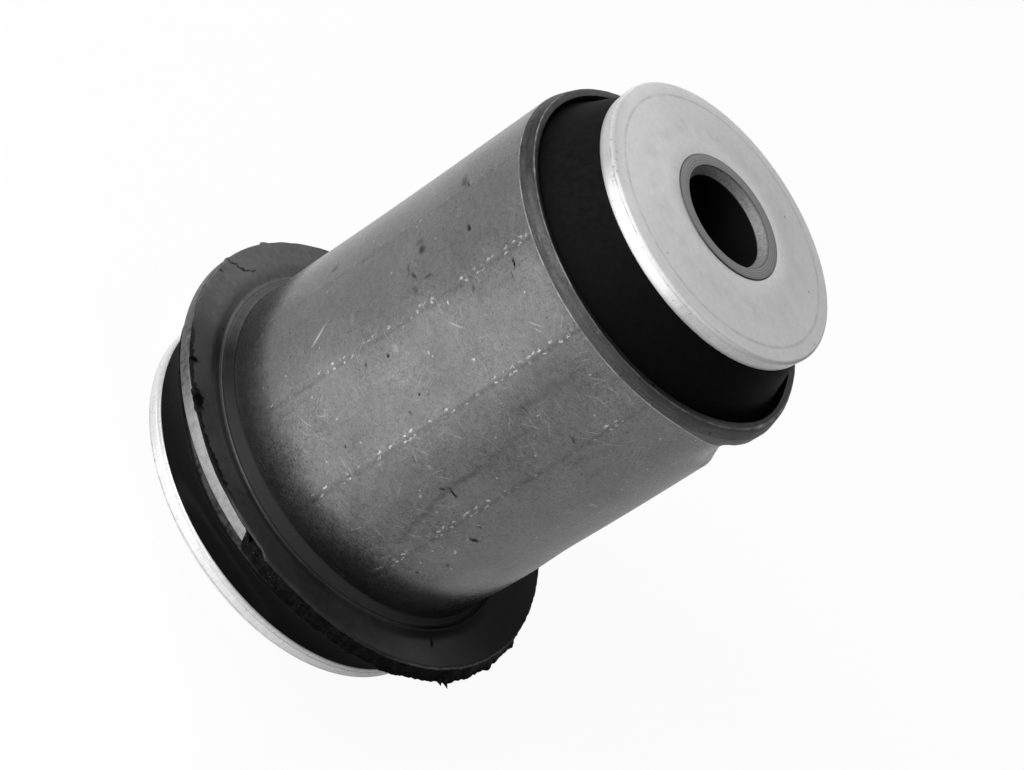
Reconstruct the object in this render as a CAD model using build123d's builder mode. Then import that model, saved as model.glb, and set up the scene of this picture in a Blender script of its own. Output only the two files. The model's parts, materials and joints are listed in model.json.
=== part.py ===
"""Flanged rubber metal bush: a steel outer sleeve, a steel inner sleeve and two end washers,
joined by one bonded rubber moulding. Millimetres, +Z along the bore towards the small washer,
origin on the bore axis at the lower end of the inner sleeve, on which the bush stands."""
from build123d import *
import math
import os

os.makedirs("parts", exist_ok=True)

# ---- driving dimensions ------------------------------------------------------------------

# Inner sleeve: the thick steel tube that the bolt clamps, countersunk at both ends.
inner_length = 99.0
inner_radius = 11.2
bore_radius = 8.2
countersink_width = 0.95
countersink_depth = 1.7

# Outer sleeve: pressed steel tube, flared at its lower end into a flange of the same sheet.
sleeve_radius = 31.0
sleeve_wall = 2.0
sleeve_base = 16.0
sleeve_setback = 13.0
flange_radius = 39.7
flare_bend = 1.5
lead_in_width = 0.7
lead_in_length = 2.2

# Knock in the outer sleeve, a little below the lead-in.
dent_angle = -2.0
dent_drop = 10.0
dent_ball = 4.2
dent_share_of_wall = 0.7

# End washers: dished plates, pressed on to the inner sleeve with their hubs outwards.
upper_washer_radius = 25.0
lower_washer_radius = 34.0
washer_thickness = 3.0
washer_dish = 1.25
washer_hub_inset = 0.15
washer_rim_roll = 0.6
washer_back_round = 0.45

# Rubber, upper end: rolls out of the sleeve's mouth and rises as a cone to the small washer.
mouth_recess = 2.4
mouth_roll_width = 1.1
mouth_roll_height = 2.2
cone_inset = 0.6

# Rubber, lower end: a collar under the flange, then a waisted bumper to the large washer.
collar_inset = 1.2
collar_depth = 2.6
collar_round = 0.5
bumper_foot_inset = 0.1
bumper_waist = 0.7
bumper_shoulder_inset = 2.4
bumper_shoulder_drop = 0.7

# Rubber skin on the flange's upper face, with a bead round its inner edge.
skin_thickness = 0.5
skin_edge_inset = 0.3
bead_gap = 0.3
bead_width = 0.8
bead_height = 0.7

# Rubber that wraps the flange's edge on one side only; the rest of the edge is bare steel.
wrap_top_reach = 0.3
wrap_reach = 1.1
wrap_drop = 0.7
wrap_round = 0.5
wrap_lap = 0.3
wrap_start = -88.0
wrap_sweep = 163.0

# Torn flash along the wrap: angle round the axis, width along the edge, reach past it.
flash_thickness = 0.5
flash_tags = [
    (-78.0, 2.4, 0.5),
    (-61.0, 1.8, 0.6),
    (-44.0, 2.6, 0.7),
    (-31.0, 2.0, 0.9),
    (-22.5, 1.3, 1.5),
    (-17.0, 1.7, 0.9),
    (-4.0, 2.8, 0.7),
    (9.0, 1.8, 0.8),
    (21.0, 2.4, 0.5),
    (36.0, 2.2, 0.6),
]
flash_tip_share = 0.3

# Moulding nubs at the skin's outer edge, beside the bare steel: angle and radius.
skin_nubs = [(169.0, 0.8), (-176.0, 0.7)]

# ---- sizes that follow from them ---------------------------------------------------------

sleeve_bore = sleeve_radius - sleeve_wall
sleeve_top = inner_length - sleeve_setback
flange_top = sleeve_base + sleeve_wall
bend_radius = sleeve_radius + flare_bend
bend_height = flange_top + flare_bend

collar_radius = flange_radius - collar_inset
collar_bottom = sleeve_base - collar_depth
skin_top = flange_top + skin_thickness
skin_radius = flange_radius - skin_edge_inset
skin_inner = bend_radius + bead_gap
bead_shoulder = skin_top + bead_height - bead_width / 2
wrap_radius = flange_radius + wrap_reach
wrap_bottom = sleeve_base - wrap_drop


def around(radius, angle):
    """Point at a radius and an angle in degrees round the bore axis."""
    return radius * math.cos(math.radians(angle)), radius * math.sin(math.radians(angle))


def upright_plane(angle):
    """Upright plane through the bore axis: local x runs outwards, local y runs up."""
    return Plane(
        origin=(0, 0, 0),
        x_dir=(*around(1.0, angle), 0),
        z_dir=(*around(1.0, angle - 90.0), 0),
    )


def washer_outline(radius, end_height, outwards):
    """Section of a dished washer whose hub lies just inside the inner sleeve's end.

    outwards is +1 for the upper end and -1 for the lower one. The corners run from the hub's
    outer face out to the rim, across the rim and back in to the hub's inner face.
    """
    slope = math.atan2(washer_dish, radius - inner_radius)
    hub = end_height - outwards * washer_hub_inset
    rim = hub - outwards * washer_dish
    rim_width = washer_thickness * math.sin(slope)
    rim_height = washer_thickness * math.cos(slope)
    hub_height = washer_thickness / math.cos(slope)
    return [
        (inner_radius, hub),
        (radius, rim),
        (radius - rim_width, rim - outwards * rim_height),
        (inner_radius, hub - outwards * hub_height),
    ]


upper_outline = washer_outline(upper_washer_radius, inner_length, 1)
lower_outline = washer_outline(lower_washer_radius, 0.0, -1)


def seat_on(outline, inset):
    """Point on a washer's inner face, a short way in from its rim."""
    rim, hub = outline[2], outline[3]
    share = inset / (rim[0] - hub[0])
    return rim[0] - inset, rim[1] + share * (hub[1] - rim[1])


# ---- inner sleeve ------------------------------------------------------------------------

with BuildPart() as inner_sleeve:
    with BuildSketch(Plane.XY):
        Circle(inner_radius)
        Circle(bore_radius, mode=Mode.SUBTRACT)
    extrude(amount=inner_length)
    for end in (0, -1):
        end_face = inner_sleeve.faces().sort_by(Axis.Z)[end]
        mouth = end_face.edges().sort_by(SortBy.RADIUS)[0]
        chamfer(mouth, length=countersink_width, length2=countersink_depth, reference=end_face)

inner_sleeve.part.label = "inner_sleeve"
export_step(inner_sleeve.part, "parts/inner_sleeve.step")

# ---- outer sleeve ------------------------------------------------------------------------

with BuildPart() as outer_sleeve:
    with BuildSketch(Plane.XZ):
        with BuildLine():
            Polyline(
                (sleeve_bore, bend_height),
                (sleeve_bore, sleeve_top),
                (sleeve_radius - lead_in_width, sleeve_top),
                (sleeve_radius, sleeve_top - lead_in_length),
                (sleeve_radius, bend_height),
            )
            TangentArc((sleeve_radius, bend_height), (bend_radius, flange_top), tangent=(0, -1))
            Polyline(
                (bend_radius, flange_top),
                (flange_radius, flange_top),
                (flange_radius, sleeve_base),
                (bend_radius, sleeve_base),
            )
            TangentArc((bend_radius, sleeve_base), (sleeve_bore, bend_height), tangent=(-1, 0))
        make_face()
    revolve(axis=Axis.Z)
    dent_depth = dent_share_of_wall * sleeve_wall
    dent_centre = around(sleeve_radius - dent_depth + dent_ball, dent_angle)
    with Locations((*dent_centre, sleeve_top - dent_drop)):
        Sphere(dent_ball, mode=Mode.SUBTRACT)

outer_sleeve.part.label = "outer_sleeve"
export_step(outer_sleeve.part, "parts/outer_sleeve.step")

# ---- end washers -------------------------------------------------------------------------

with BuildPart() as upper_washer:
    with BuildSketch(Plane.XZ) as upper_section:
        with BuildLine():
            Polyline(*upper_outline, close=True)
        make_face()
        fillet(upper_section.vertices().sort_by(Axis.X)[-2], radius=washer_back_round)
        fillet(upper_section.vertices().sort_by(Axis.X)[-1], radius=washer_rim_roll)
    revolve(axis=Axis.Z)

upper_washer.part.label = "upper_washer"
export_step(upper_washer.part, "parts/upper_washer.step")

with BuildPart() as lower_washer:
    with BuildSketch(Plane.XZ) as lower_section:
        with BuildLine():
            Polyline(*lower_outline, close=True)
        make_face()
        fillet(lower_section.vertices().sort_by(Axis.X)[-2], radius=washer_back_round)
        fillet(lower_section.vertices().sort_by(Axis.X)[-1], radius=washer_rim_roll)
    revolve(axis=Axis.Z)

lower_washer.part.label = "lower_washer"
export_step(lower_washer.part, "parts/lower_washer.step")

# ---- rubber body -------------------------------------------------------------------------

cone_top = seat_on(upper_outline, cone_inset)
bumper_foot = seat_on(lower_outline, bumper_foot_inset)
bumper_shoulder = (collar_radius - bumper_shoulder_inset, collar_bottom - bumper_shoulder_drop)
waist = (
    min(bumper_foot[0], bumper_shoulder[0]) - bumper_waist,
    (bumper_foot[1] + bumper_shoulder[1]) / 2,
)
mouth_edge = (sleeve_bore, sleeve_top - mouth_recess)
cone_foot = (sleeve_bore - mouth_roll_width, mouth_edge[1] + mouth_roll_height)

with BuildPart() as rubber_body:
    # Core: cone, filling between the sleeves, collar and bumper, in one outline.
    with BuildSketch(Plane.XZ) as core:
        with BuildLine():
            Polyline(cone_top, upper_outline[3], lower_outline[3], bumper_foot)
            ThreePointArc(bumper_foot, waist, bumper_shoulder)
            Polyline(
                bumper_shoulder,
                (collar_radius, collar_bottom),
                (collar_radius, sleeve_base),
                (bend_radius, sleeve_base),
            )
            TangentArc((bend_radius, sleeve_base), (sleeve_bore, bend_height), tangent=(-1, 0))
            Line((sleeve_bore, bend_height), mouth_edge)
            TangentArc(mouth_edge, cone_foot, tangent=(0, 1))
            Line(cone_foot, cone_top)
        make_face()
        collar_corner = core.vertices().group_by(Axis.X)[-1].sort_by(Axis.Y)[0]
        fillet(collar_corner, radius=collar_round)
    revolve(axis=Axis.Z)

    # Skin on the flange, with its bead: an upright lip with a round top.
    with BuildSketch(Plane.XZ):
        with BuildLine():
            Polyline(
                (skin_inner + bead_width, bead_shoulder),
                (skin_inner + bead_width, skin_top),
                (skin_radius, skin_top),
                (skin_radius, flange_top),
                (skin_inner, flange_top),
                (skin_inner, bead_shoulder),
            )
            ThreePointArc(
                (skin_inner, bead_shoulder),
                (skin_inner + bead_width / 2, skin_top + bead_height),
                (skin_inner + bead_width, bead_shoulder),
            )
        make_face()
    revolve(axis=Axis.Z)

    # Wrap round part of the flange's edge, from the skin out to the parting line and back in
    # under the flange to the collar.
    with BuildSketch(upright_plane(wrap_start)) as wrap:
        with BuildLine():
            Polyline(
                (collar_radius - wrap_lap, sleeve_base),
                (flange_radius, sleeve_base),
                (flange_radius, flange_top),
                (skin_radius - wrap_lap, flange_top),
                (skin_radius - wrap_lap, skin_top),
                (flange_radius + wrap_top_reach, skin_top),
                (wrap_radius, sleeve_base + flash_thickness),
                (wrap_radius, sleeve_base),
                (flange_radius, wrap_bottom),
                (collar_radius - wrap_lap, wrap_bottom),
                close=True,
            )
        make_face()
        top_edge = wrap.vertices().group_by(Axis.Y)[-1].sort_by(Axis.X)[-1]
        fillet(top_edge, radius=wrap_round)
    revolve(axis=Axis.Z, revolution_arc=wrap_sweep)

    # Torn flash: thin tags that stand out of the wrap at the parting line.
    with BuildSketch(Plane.XY.offset(sleeve_base)):
        for angle, width, reach in flash_tags:
            with Locations(Location((*around(wrap_radius, angle), 0), (0, 0, angle))):
                Polygon(
                    (-wrap_lap, -width / 2),
                    (reach, -flash_tip_share * width / 2),
                    (reach, flash_tip_share * width / 2),
                    (-wrap_lap, width / 2),
                    align=None,
                )
    extrude(amount=flash_thickness)

    # Moulding nubs at the skin's edge.
    with BuildSketch(Plane.XY.offset(flange_top)):
        for angle, radius in skin_nubs:
            with Locations(around(skin_radius, angle)):
                Circle(radius)
    extrude(amount=skin_thickness)

rubber_body.part.label = "rubber_body"
export_step(rubber_body.part, "parts/rubber_body.step")
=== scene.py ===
"""Flanged rubber metal bush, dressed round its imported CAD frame.

Five turned pieces stand on the bore axis: the steel inner sleeve, the steel outer sleeve with its
flange, the bonded rubber between them and a dished zinc-plated washer at each end. Sizes are
written in millimetres and turned into Blender's metres where a mesh is made.
"""

import json
import logging
import math
from dataclasses import dataclass, replace
from enum import Enum
from functools import reduce

import bmesh
import bpy
from mathutils import Matrix, Vector, noise


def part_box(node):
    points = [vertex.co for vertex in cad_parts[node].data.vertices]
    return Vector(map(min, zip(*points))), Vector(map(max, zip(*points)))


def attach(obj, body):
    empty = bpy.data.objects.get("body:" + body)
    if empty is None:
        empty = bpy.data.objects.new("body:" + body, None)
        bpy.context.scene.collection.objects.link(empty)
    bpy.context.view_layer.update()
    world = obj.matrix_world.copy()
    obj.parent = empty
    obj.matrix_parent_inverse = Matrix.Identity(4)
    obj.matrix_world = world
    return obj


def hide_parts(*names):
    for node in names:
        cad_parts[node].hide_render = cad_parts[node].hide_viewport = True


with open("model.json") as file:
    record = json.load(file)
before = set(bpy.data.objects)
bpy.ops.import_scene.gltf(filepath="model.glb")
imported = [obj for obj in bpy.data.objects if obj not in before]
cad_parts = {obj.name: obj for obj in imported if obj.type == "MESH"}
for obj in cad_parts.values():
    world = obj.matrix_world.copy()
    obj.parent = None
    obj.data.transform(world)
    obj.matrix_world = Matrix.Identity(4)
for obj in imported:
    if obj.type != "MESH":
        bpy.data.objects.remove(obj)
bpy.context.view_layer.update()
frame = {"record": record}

MM = 0.001
BODY = "root"
# Points of a finished piece that lie closer than this are joined, in millimetres.
MERGE_GAP = 0.002
# Two sectors of a turned piece meet within this, and no edge is shorter, in millimetres.
SEAM_GAP = 0.001
# Edges between faces that turn by more than this many degrees are drawn sharp.
SHARP_TURN = 38.0
# How much each finer octave of a grain counts.
GRAIN_ROUGHNESS = 0.55
# Half a scratch's width, as a share of the distance between scratches.
SCRATCH_REACH = 0.09
LOG = logging.getLogger("bush")


# ---- shader expressions ------------------------------------------------------------------


class Term:
    """A shader number: arithmetic on it adds Math nodes to its material."""

    def __init__(self, finish: "Shader", socket: bpy.types.NodeSocket) -> None:
        """Wraps an output socket of the shader that it belongs to."""
        self.finish = finish
        self.socket = socket

    def math(self, operation: str, *values: "float | Term", clamp: bool = False) -> "Term":
        """Adds one Math node.

        Args:
            operation: The Math node's operation.
            values: All of its inputs in order, as numbers or terms.
            clamp: Whether the result is held between 0 and 1.

        Returns:
            The node's result.
        """
        settings = {"operation": operation, "use_clamp": clamp}
        inputs = dict(enumerate(values))
        return Term(self.finish, self.finish.node("ShaderNodeMath", settings, inputs).outputs[0])

    def __add__(self, other: "float | Term") -> "Term":
        """Sum."""
        return self.math("ADD", self, other)

    def __radd__(self, other: float) -> "Term":
        """Sum with a number on the left."""
        return self.math("ADD", other, self)

    def __sub__(self, other: "float | Term") -> "Term":
        """Difference."""
        return self.math("SUBTRACT", self, other)

    def __rsub__(self, other: float) -> "Term":
        """Difference from a number."""
        return self.math("SUBTRACT", other, self)

    def __mul__(self, other: "float | Term") -> "Term":
        """Product."""
        return self.math("MULTIPLY", self, other)

    def __rmul__(self, other: float) -> "Term":
        """Product with a number on the left."""
        return self.math("MULTIPLY", other, self)

    def __truediv__(self, other: "float | Term") -> "Term":
        """Quotient."""
        return self.math("DIVIDE", self, other)

    def __abs__(self) -> "Term":
        """Size without sign."""
        return self.math("ABSOLUTE", self)

    def held(self) -> "Term":
        """The same number, held between 0 and 1."""
        return self.math("ADD", self, 0.0, clamp=True)

    def most(self, other: "float | Term") -> "Term":
        """The larger of two numbers."""
        return self.math("MAXIMUM", self, other)

    def least(self, other: "float | Term") -> "Term":
        """The smaller of two numbers."""
        return self.math("MINIMUM", self, other)

    def dimmed(self, mask: "Term", share: float = 1.0) -> "Term":
        """This number, less a share of itself where the mask is 1."""
        return self * (1.0 - (mask if share == 1.0 else mask * share))

    def covered(self, mask: "Term", other: "float | Term") -> "Term":
        """This number where the mask is 0 and another where it is 1."""
        return self * (1.0 - mask) + other * mask

    def rise(self, low: float, high: float) -> "Term":
        """A smooth step.

        Args:
            low: Where the step is still 0.
            high: Where it reaches 1. It may be below `low`, for a step that falls.

        Returns:
            A number between 0 and 1.
        """
        start, end, first, last = (low, high, 0.0, 1.0) if low < high else (high, low, 1.0, 0.0)
        node = self.finish.node(
            "ShaderNodeMapRange",
            {"interpolation_type": "SMOOTHSTEP"},
            {"Value": self, "From Min": start, "From Max": end, "To Min": first, "To Max": last},
        )
        return Term(self.finish, node.outputs[0])

    def hill(self, middle: float, width: float) -> "Term":
        """A bell curve about `middle`, which falls to about a third `width` away."""
        away = (self - middle) * (1.0 / width)
        return away.math("EXPONENT", away * away * -1.0)

    def band(self, middle: float, half_width: float) -> "Term":
        """A soft stripe: 1 at `middle`, 0 beyond `half_width` either side."""
        return abs(self - middle).rise(half_width, 0.0)


@dataclass(frozen=True)
class Side:
    """A side of the bush, as an angle in degrees round the axis.

    Its soft mask is 0 where the cosine of the way round from there is `low` and 1 at `high`.
    """

    angle: float
    low: float
    high: float


@dataclass(frozen=True)
class Mark:
    """A stain or scratch on an unrolled surface.

    `angle` and `rise` place its middle, in degrees and millimetres; `lean` is its heading in
    degrees from the way round the axis.
    """

    angle: float
    rise: float
    length: float
    width: float
    lean: float
    strength: float


class Shader:
    """One material under construction, read in the piece's own millimetres."""

    def __init__(self, name: str) -> None:
        """Starts an empty node material.

        Args:
            name: The material's name.
        """
        self.material = bpy.data.materials.new(name)
        self.material.use_nodes = True
        self.tree = self.material.node_tree
        self.tree.nodes.clear()
        coordinates = self.node("ShaderNodeTexCoord", {}, {})
        self.place = self.vector("SCALE", {0: coordinates.outputs["Object"], "Scale": 1.0 / MM})
        split = self.node("ShaderNodeSeparateXYZ", {}, {0: self.place})
        x, y, self.height = (Term(self, socket) for socket in split.outputs)
        self.radius = x.math("SQRT", x * x + y * y)
        self.angle = x.math("ARCTAN2", y, x) * math.degrees(1.0)

    def side(self, angle: float) -> Term:
        """1 on the side at `angle` degrees round the axis, -1 on the opposite one."""
        away = (self.angle - angle) * math.radians(1.0)
        return away.math("COSINE", away)

    def facing(self, side: Side) -> Term:
        """A soft mask about one side of the bush."""
        return self.side(side.angle).rise(side.low, side.high)

    def node(
        self, kind: str, settings: dict[str, object], inputs: dict[int | str, object]
    ) -> bpy.types.Node:
        """Adds a node, its settings first and then its sockets.

        Args:
            kind: The node's type name.
            settings: Values of the node's own properties.
            inputs: Socket index or name to a number, a colour, a socket or a term.

        Returns:
            The new node.
        """
        node = self.tree.nodes.new(kind)
        for setting, value in settings.items():
            setattr(node, setting, value)
        for socket, value in inputs.items():
            source = value.socket if isinstance(value, Term) else value
            if isinstance(source, bpy.types.NodeSocket):
                self.tree.links.new(source, node.inputs[socket])
            else:
                node.inputs[socket].default_value = source
        return node

    def vector(self, operation: str, inputs: dict[int | str, object]) -> bpy.types.NodeSocket:
        """Adds one Vector Math node and gives its vector."""
        return self.node("ShaderNodeVectorMath", {"operation": operation}, inputs).outputs[0]

    def measure(self, operation: str, inputs: dict[int | str, object]) -> Term:
        """Adds one Vector Math node and gives its number."""
        node = self.node("ShaderNodeVectorMath", {"operation": operation}, inputs)
        return Term(self, node.outputs["Value"])

    def turned(self, flat: bpy.types.NodeSocket, heading: float) -> bpy.types.NodeSocket:
        """Unrolled coordinates turned so that `heading`, in degrees, runs along the first."""
        inputs = {"Vector": flat, "Angle": math.radians(-heading)}
        return self.node("ShaderNodeVectorRotate", {"rotation_type": "Z_AXIS"}, inputs).outputs[0]

    def grain(
        self,
        size: float,
        detail: float = 2.0,
        stretch: tuple[float, float, float] = (1.0, 1.0, 1.0),
        at: bpy.types.NodeSocket | None = None,
        shift: float = 0.0,
    ) -> Term:
        """Soft noise about 0.5.

        Args:
            size: Typical size of a patch, in millimetres.
            detail: Octaves of finer noise on top.
            stretch: How many times longer a patch is along x, y and z.
            at: Coordinates to read; the piece's own by default.
            shift: Moves the pattern, so that two grains of one size differ.

        Returns:
            The noise value.
        """
        scale = tuple(1.0 / (size * s) for s in stretch)
        scaled = self.vector("MULTIPLY_ADD", {0: at or self.place, 1: scale, 2: (shift,) * 3})
        texture = self.node(
            "ShaderNodeTexNoise",
            {"noise_dimensions": "3D"},
            {"Vector": scaled, "Scale": 1.0, "Detail": detail, "Roughness": GRAIN_ROUGHNESS},
        )
        return Term(self, texture.outputs[0])

    def patches(
        self, size: float, detail: float, gain: float, start: float, shift: float
    ) -> Term:
        """Separate soft patches: a grain made `gain` times steeper, less `start`, and held."""
        return (self.grain(size, detail, shift=shift) * gain - start).held()

    def specks(
        self,
        spacing: float,
        reach: float,
        share: float,
        at: bpy.types.NodeSocket | None = None,
        flat: bool = False,
        scatter: float = 1.0,
    ) -> Term:
        """Round specks scattered one to a cell.

        Args:
            spacing: Size of a cell, in millimetres.
            reach: Radius of the largest speck as a share of the cell.
            share: How many of the cells hold a speck, from 0 to 1.
            at: Coordinates to read; the piece's own by default.
            flat: Whether only the first two coordinates count.
            scatter: How far a speck may lie from the middle of its cell, from 0 to 1.

        Returns:
            A number between 0 and 1, highest in the middle of a speck.
        """
        scaled = self.vector("SCALE", {0: at or self.place, "Scale": 1.0 / spacing})
        cells = self.node(
            "ShaderNodeTexVoronoi",
            {"feature": "F1", "voronoi_dimensions": "2D" if flat else "3D"},
            {"Vector": scaled, "Scale": 1.0, "Randomness": scatter},
        )
        chance = self.node("ShaderNodeSeparateColor", {}, {0: cells.outputs["Color"]})
        kept = Term(self, chance.outputs[0]).rise(1.0 - share, 1.0 - share * 0.4)
        near = Term(self, cells.outputs["Distance"])
        return (near / (kept * reach + 0.001)).rise(1.0, 0.35) * kept

    def unrolled(self, radius: float, rise: Term | None = None) -> bpy.types.NodeSocket:
        """The surface of a cylinder, or of a ring's face, laid flat.

        Args:
            radius: Radius at which lengths round the axis are true, in millimetres.
            rise: The second coordinate; the height by default.

        Returns:
            A vector socket: length round the axis, the second coordinate, nothing.
        """
        round_axis = self.angle * (math.radians(1.0) * radius)
        flat = self.node("ShaderNodeCombineXYZ", {}, {0: round_axis, 1: rise or self.height})
        return flat.outputs[0]

    def warped(
        self, flat: bpy.types.NodeSocket, size: float, reach: float
    ) -> bpy.types.NodeSocket:
        """Unrolled coordinates pushed about by noise, which makes what is drawn on them ragged.

        Args:
            flat: Unrolled coordinates.
            size: Typical length of a wave, in millimetres.
            reach: Farthest push, in millimetres.

        Returns:
            The uneven coordinates.
        """
        waves = self.node(
            "ShaderNodeTexNoise",
            {"noise_dimensions": "2D"},
            {"Vector": flat, "Scale": 1.0 / size, "Detail": 2.0},
        )
        push = self.vector("SUBTRACT", {0: waves.outputs["Color"], 1: (0.5, 0.5, 0.5)})
        farthest = (4.0 * reach, 4.0 * reach, 0.0)
        return self.vector("MULTIPLY_ADD", {0: push, 1: farthest, 2: flat})

    def line(
        self,
        flat: bpy.types.NodeSocket,
        places: tuple[tuple[float, float], ...],
        radius: float,
        width: float,
    ) -> Term:
        """A soft line through a few places.

        Args:
            flat: Unrolled coordinates.
            places: Angle in degrees and height in millimetres of each place.
            radius: The radius that the coordinates were unrolled at, in millimetres.
            width: Half the line's width, in millimetres.

        Returns:
            A number between 0 and 1, highest along the line.
        """
        corners = [Vector((math.radians(angle) * radius, rise, 0.0)) for angle, rise in places]
        gaps = []
        for start, end in zip(corners, corners[1:]):
            way = end - start
            moved = self.vector("SUBTRACT", {0: flat, 1: tuple(start)})
            along = self.measure("DOT_PRODUCT", {0: moved, 1: tuple(way / way.length_squared)})
            spot = self.vector("SCALE", {0: tuple(way), "Scale": along.held()})
            gaps.append(self.measure("DISTANCE", {0: moved, 1: spot}))
        return reduce(Term.least, gaps).rise(width, 0.0)

    def marks(
        self, flat: bpy.types.NodeSocket, places: tuple[Mark, ...], radius: float
    ) -> Term:
        """Paints a few separate marks.

        Args:
            flat: Unrolled coordinates.
            places: The marks.
            radius: The radius that the coordinates were unrolled at, in millimetres.

        Returns:
            The marks' strength at each point, from 0 to 1.
        """
        painted = []
        for mark in places:
            middle = (math.radians(mark.angle) * radius, mark.rise, 0.0)
            moved = self.vector("SUBTRACT", {0: flat, 1: middle})
            size = (2.0 / mark.length, 2.0 / mark.width, 0.0)
            shaped = self.vector("MULTIPLY", {0: self.turned(moved, mark.lean), 1: size})
            painted.append(self.measure("LENGTH", {0: shaped}).rise(1.0, 0.15) * mark.strength)
        return reduce(Term.most, painted)

    def scratches(
        self,
        flat: bpy.types.NodeSocket,
        heading: float,
        spacing: float,
        length: float,
        share: float,
    ) -> Term:
        """Short straight scratches that all run one way.

        Args:
            flat: Unrolled coordinates.
            heading: Direction of the scratches, in degrees from the first coordinate.
            spacing: Distance between neighbours across the scratches, in millimetres.
            length: How many times longer than wide a cell is.
            share: How many of the cells hold a scratch, from 0 to 1.

        Returns:
            A number between 0 and 1, highest along the middle of a scratch.
        """
        turned = self.turned(flat, heading)
        drawn = self.vector("MULTIPLY", {0: turned, 1: (1.0 / length, 1.0, 1.0)})
        return self.specks(spacing, SCRATCH_REACH, share, drawn, flat=True)

    def finish(
        self,
        shade: Term,
        roughness: float | Term,
        metallic: float | Term,
        relief: Term | None = None,
        relief_depth: float = 0.05,
        specular: float = 0.5,
        coat: float | Term = 0.0,
        coat_roughness: float = 0.3,
    ) -> bpy.types.Material:
        """Joins the surface to the output.

        Args:
            shade: Grey level of the base colour.
            roughness: Surface roughness.
            metallic: 1 for bare metal, 0 for rubber.
            relief: Surface height between 0 and 1, if the surface has a relief.
            relief_depth: Height of that relief, in millimetres.
            specular: Specular level, the same all over.
            coat: Weight of a clear sheen over the surface.
            coat_roughness: Roughness of the sheen, the same all over.

        Returns:
            The finished material.
        """
        grey = self.node("ShaderNodeCombineColor", {}, dict.fromkeys(range(3), shade))
        inputs: dict[int | str, object] = {
            "Base Color": grey.outputs[0],
            "Roughness": roughness,
            "Metallic": metallic,
            "Specular IOR Level": specular,
            "Coat Weight": coat,
            "Coat Roughness": coat_roughness,
        }
        if relief is not None:
            height = {"Height": relief, "Distance": relief_depth * MM}
            inputs["Normal"] = self.node("ShaderNodeBump", {}, height).outputs[0]
        surface = self.node("ShaderNodeBsdfPrincipled", {}, inputs)
        self.node("ShaderNodeOutputMaterial", {}, {"Surface": surface.outputs[0]})
        return self.material


# ---- turned meshes -----------------------------------------------------------------------


@dataclass(frozen=True)
class Corner:
    """A corner of a turned section: radius and height in millimetres.

    `blend` is how far from the corner its rounding starts, and `steps` how many faces it has.
    """

    radius: float
    height: float
    blend: float = 0.0
    steps: int = 4


class Turning:
    """A closed section that is spun about the bore axis into a solid of revolution."""

    def __init__(self, corners: list[Corner], longest: float) -> None:
        """Draws the section and rounds its corners.

        Args:
            corners: The section's corners in order.
            longest: Edges longer than this are divided evenly, in millimetres.
        """
        self.mesh = bmesh.new()
        points = [self.mesh.verts.new((c.radius * MM, 0.0, c.height * MM)) for c in corners]
        for first, second in zip(points, points[1:] + points[:1]):
            self.mesh.edges.new((first, second))
        for corner, point in zip(corners, points):
            if corner.blend:
                bmesh.ops.bevel(
                    self.mesh,
                    geom=[point],
                    offset=corner.blend * MM,
                    offset_type="OFFSET",
                    segments=corner.steps,
                    profile=0.5,
                    affect="VERTICES",
                    material=-1,
                )
        for edge in list(self.mesh.edges):
            cuts = int(edge.calc_length() / (longest * MM))
            if cuts:
                bmesh.ops.subdivide_edges(self.mesh, edges=[edge], cuts=cuts)

    def spun(self, steps: int, sectors: int = 12) -> bmesh.types.BMesh:
        """Spins one sector of the turn and repeats it round the axis.

        Args:
            steps: Faces round the axis, a multiple of `sectors`.
            sectors: Equal parts that the turn is made in, which is far quicker than one spin.

        Returns:
            The closed solid.
        """
        share = math.tau / sectors
        bmesh.ops.spin(
            self.mesh,
            geom=self.mesh.verts[:] + self.mesh.edges[:],
            cent=(0.0, 0.0, 0.0),
            axis=(0.0, 0.0, 1.0),
            dvec=(0.0, 0.0, 0.0),
            angle=share,
            steps=steps // sectors,
            use_merge=False,
            use_duplicate=False,
        )
        sector = self.mesh.verts[:] + self.mesh.edges[:] + self.mesh.faces[:]
        for number in range(1, sectors):
            copy = bmesh.ops.duplicate(self.mesh, geom=sector)["geom"]
            points = [part for part in copy if isinstance(part, bmesh.types.BMVert)]
            turn = Matrix.Rotation(share * number, 3, "Z")
            bmesh.ops.rotate(self.mesh, verts=points, cent=(0.0, 0.0, 0.0), matrix=turn)
        bmesh.ops.remove_doubles(self.mesh, verts=self.mesh.verts, dist=SEAM_GAP * MM)
        return self.mesh


def bearing(point: Vector) -> tuple[float, float, float]:
    """Degrees round the bore axis, then radius and height in millimetres, of a point."""
    angle = math.degrees(math.atan2(point.y, point.x))
    return angle, math.hypot(point.x, point.y) / MM, point.z / MM


def set_bearing(point: Vector, angle: float, radius: float, height: float) -> None:
    """Moves a mesh point.

    Args:
        point: The point, which is changed.
        angle: Degrees round the bore axis.
        radius: Distance from the axis, in millimetres.
        height: Height up the axis, in millimetres.
    """
    point.x = radius * MM * math.cos(math.radians(angle))
    point.y = radius * MM * math.sin(math.radians(angle))
    point.z = height * MM


def turn_between(angle: float, middle: float) -> float:
    """Signed angle from `middle` to `angle`, the short way round, in degrees."""
    return (angle - middle + 180.0) % 360.0 - 180.0


def bell(distance: float, width: float) -> float:
    """A bell curve: 1 at no distance, falling to about a third at `width`."""
    return math.exp(-((distance / width) ** 2))


def ease(value: float, low: float, high: float) -> float:
    """A smooth step from 0 at `low` to 1 at `high`."""
    share = min(1.0, max(0.0, (value - low) / (high - low)))
    return share * share * (3.0 - 2.0 * share)


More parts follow.
